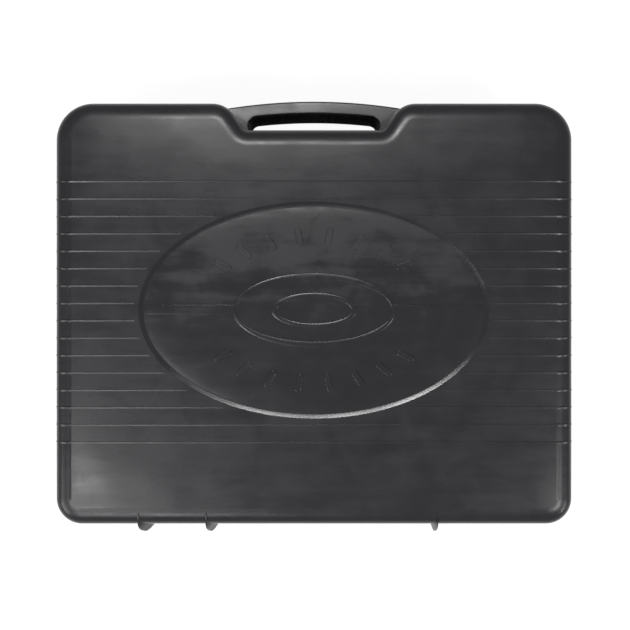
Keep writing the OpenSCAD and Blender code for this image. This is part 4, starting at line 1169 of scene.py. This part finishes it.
def white_paper():
    """Matt white paper, nearly pure white to the camera and wholly so far from the case."""
    mat, tree = blank_material("White paper sweep")
    lit = add(tree, "ShaderNodeBsdfDiffuse", {"Color": (0.86, 0.86, 0.86, 1)})
    glow = add(tree, "ShaderNodeEmission", {"Color": (1, 1, 1, 1), "Strength": 1})
    where = add(tree, "ShaderNodeTexCoord").outputs["Object"]
    far = add(tree, "ShaderNodeVectorMath", {0: where}, operation="LENGTH").outputs["Value"]
    whiter = add(tree, "ShaderNodeMapRange", {
        "Value": far, "From Min": 0.8, "From Max": 2.5, "To Min": 0.88, "To Max": 1})
    seen = add(tree, "ShaderNodeMixShader", {0: whiter, 1: lit, 2: glow})
    mirrored = add(tree, "ShaderNodeMixShader", {0: 0.3, 1: lit, 2: glow})
    add(tree, "ShaderNodeOutputMaterial", {0: white_for_eyes(tree, seen, mirrored, lit)})
    return mat


def hole_shade_material():
    """Dark matt card that only gloss sees: painted shade on the floor under the hand hole, which
    the walls of the hand hole mirror.
    """
    mat, tree = blank_material("Painted shade under the hand hole")
    # Painted shade: a dark grey that the hole's walls mirror in place of the floor.
    painted_dark = add(tree, "ShaderNodeBsdfDiffuse", {"Color": (0.1, 0.1, 0.1, 1)})
    add(tree, "ShaderNodeOutputMaterial", {0: painted_dark})
    return mat


class CASE_OT_stage(MakePiece, bpy.types.Operator):
    """Set the pale floor, the soft lamps and the camera"""
    bl_idname = "camp_case.stage"
    bl_label = "Stage"

    def execute(self, context):
        scene = context.scene
        scene.view_settings.view_transform = "Standard"

        bm = bmesh.new()
        bmesh.ops.create_grid(bm, x_segments=8, y_segments=8, size=FLOOR_HALF)
        mesh = bpy.data.meshes.new("floor")
        bm.to_mesh(mesh)
        bm.free()
        stage_piece("floor", mesh, white_paper())

        # Only gloss shows the card: a painted shade on the floor under the hand hole, for the
        # hole's walls to mirror.
        mesh = bpy.data.meshes.new("painted_hole_shade")
        corners = [(side * HOLE_SHADE_X, y, HOLE_SHADE_Z) for side, y in (
            (-1, HOLE_SHADE_NEAR), (1, HOLE_SHADE_NEAR), (1, HOLE_SHADE_FAR), (-1, HOLE_SHADE_FAR))]
        mesh.from_pydata(corners, [], [(0, 1, 2, 3)])
        shade_card = stage_piece("painted_hole_shade", mesh, hole_shade_material())
        for ray in ("camera", "diffuse", "shadow", "transmission", "volume_scatter"):
            setattr(shade_card, "visible_" + ray, False)

        world = bpy.data.worlds.new("Studio")
        scene.world = world
        world.use_nodes = True
        tree = world.node_tree
        tree.nodes.clear()
        white = add(tree, "ShaderNodeBackground", {"Color": (1, 1, 1, 1), "Strength": 1})
        dim = add(tree, "ShaderNodeBackground", {"Color": (1, 1, 1, 1), "Strength": 0.35})
        add(tree, "ShaderNodeOutputWorld", {0: white_for_eyes(tree, white, white, dim)})

        for name, place, size, power in LAMPS:
            lamp(name, place, size, power)

        data = bpy.data.cameras.new("camera")
        data.lens = 73
        data.sensor_width = 36
        data.clip_start = 0.02
        camera = bpy.data.objects.new("camera", data)
        camera.location = CAMERA_AT
        scene.collection.objects.link(camera)
        scene.camera = camera
        return {"FINISHED"}


class CASE_PT_panel(bpy.types.Panel):
    """Lists the pieces of the case and the stove"""
    bl_idname = "CASE_PT_panel"
    bl_label = "Stove case"
    bl_space_type = "VIEW_3D"
    bl_region_type = "UI"
    bl_category = "Stove Case"

    def draw(self, context):
        column = self.layout.column(align=True)
        for group in (context.scene.camp_case, context.scene.camp_stove):
            for key in group.__annotations__:
                column.prop(group, key)
        for operator in OPERATORS:
            column.operator(operator.bl_idname)


OPERATORS = (CASE_OT_stage, CASE_OT_lid, CASE_OT_base, CASE_OT_fittings, CASE_OT_stove)
CLASSES = (CaseSettings, StoveSettings, *OPERATORS, CASE_PT_panel)


def register():
    for cls in CLASSES:
        bpy.utils.register_class(cls)
    bpy.types.Scene.camp_case = PointerProperty(type=CaseSettings)
    bpy.types.Scene.camp_stove = PointerProperty(type=StoveSettings)


def unregister():
    del bpy.types.Scene.camp_stove
    del bpy.types.Scene.camp_case
    for cls in reversed(CLASSES):
        bpy.utils.unregister_class(cls)


def main():
    register()
    for operator in OPERATORS:
        group, name = operator.bl_idname.split(".")
        getattr(getattr(bpy.ops, group), name)()


if __name__ == "__main__":
    main()
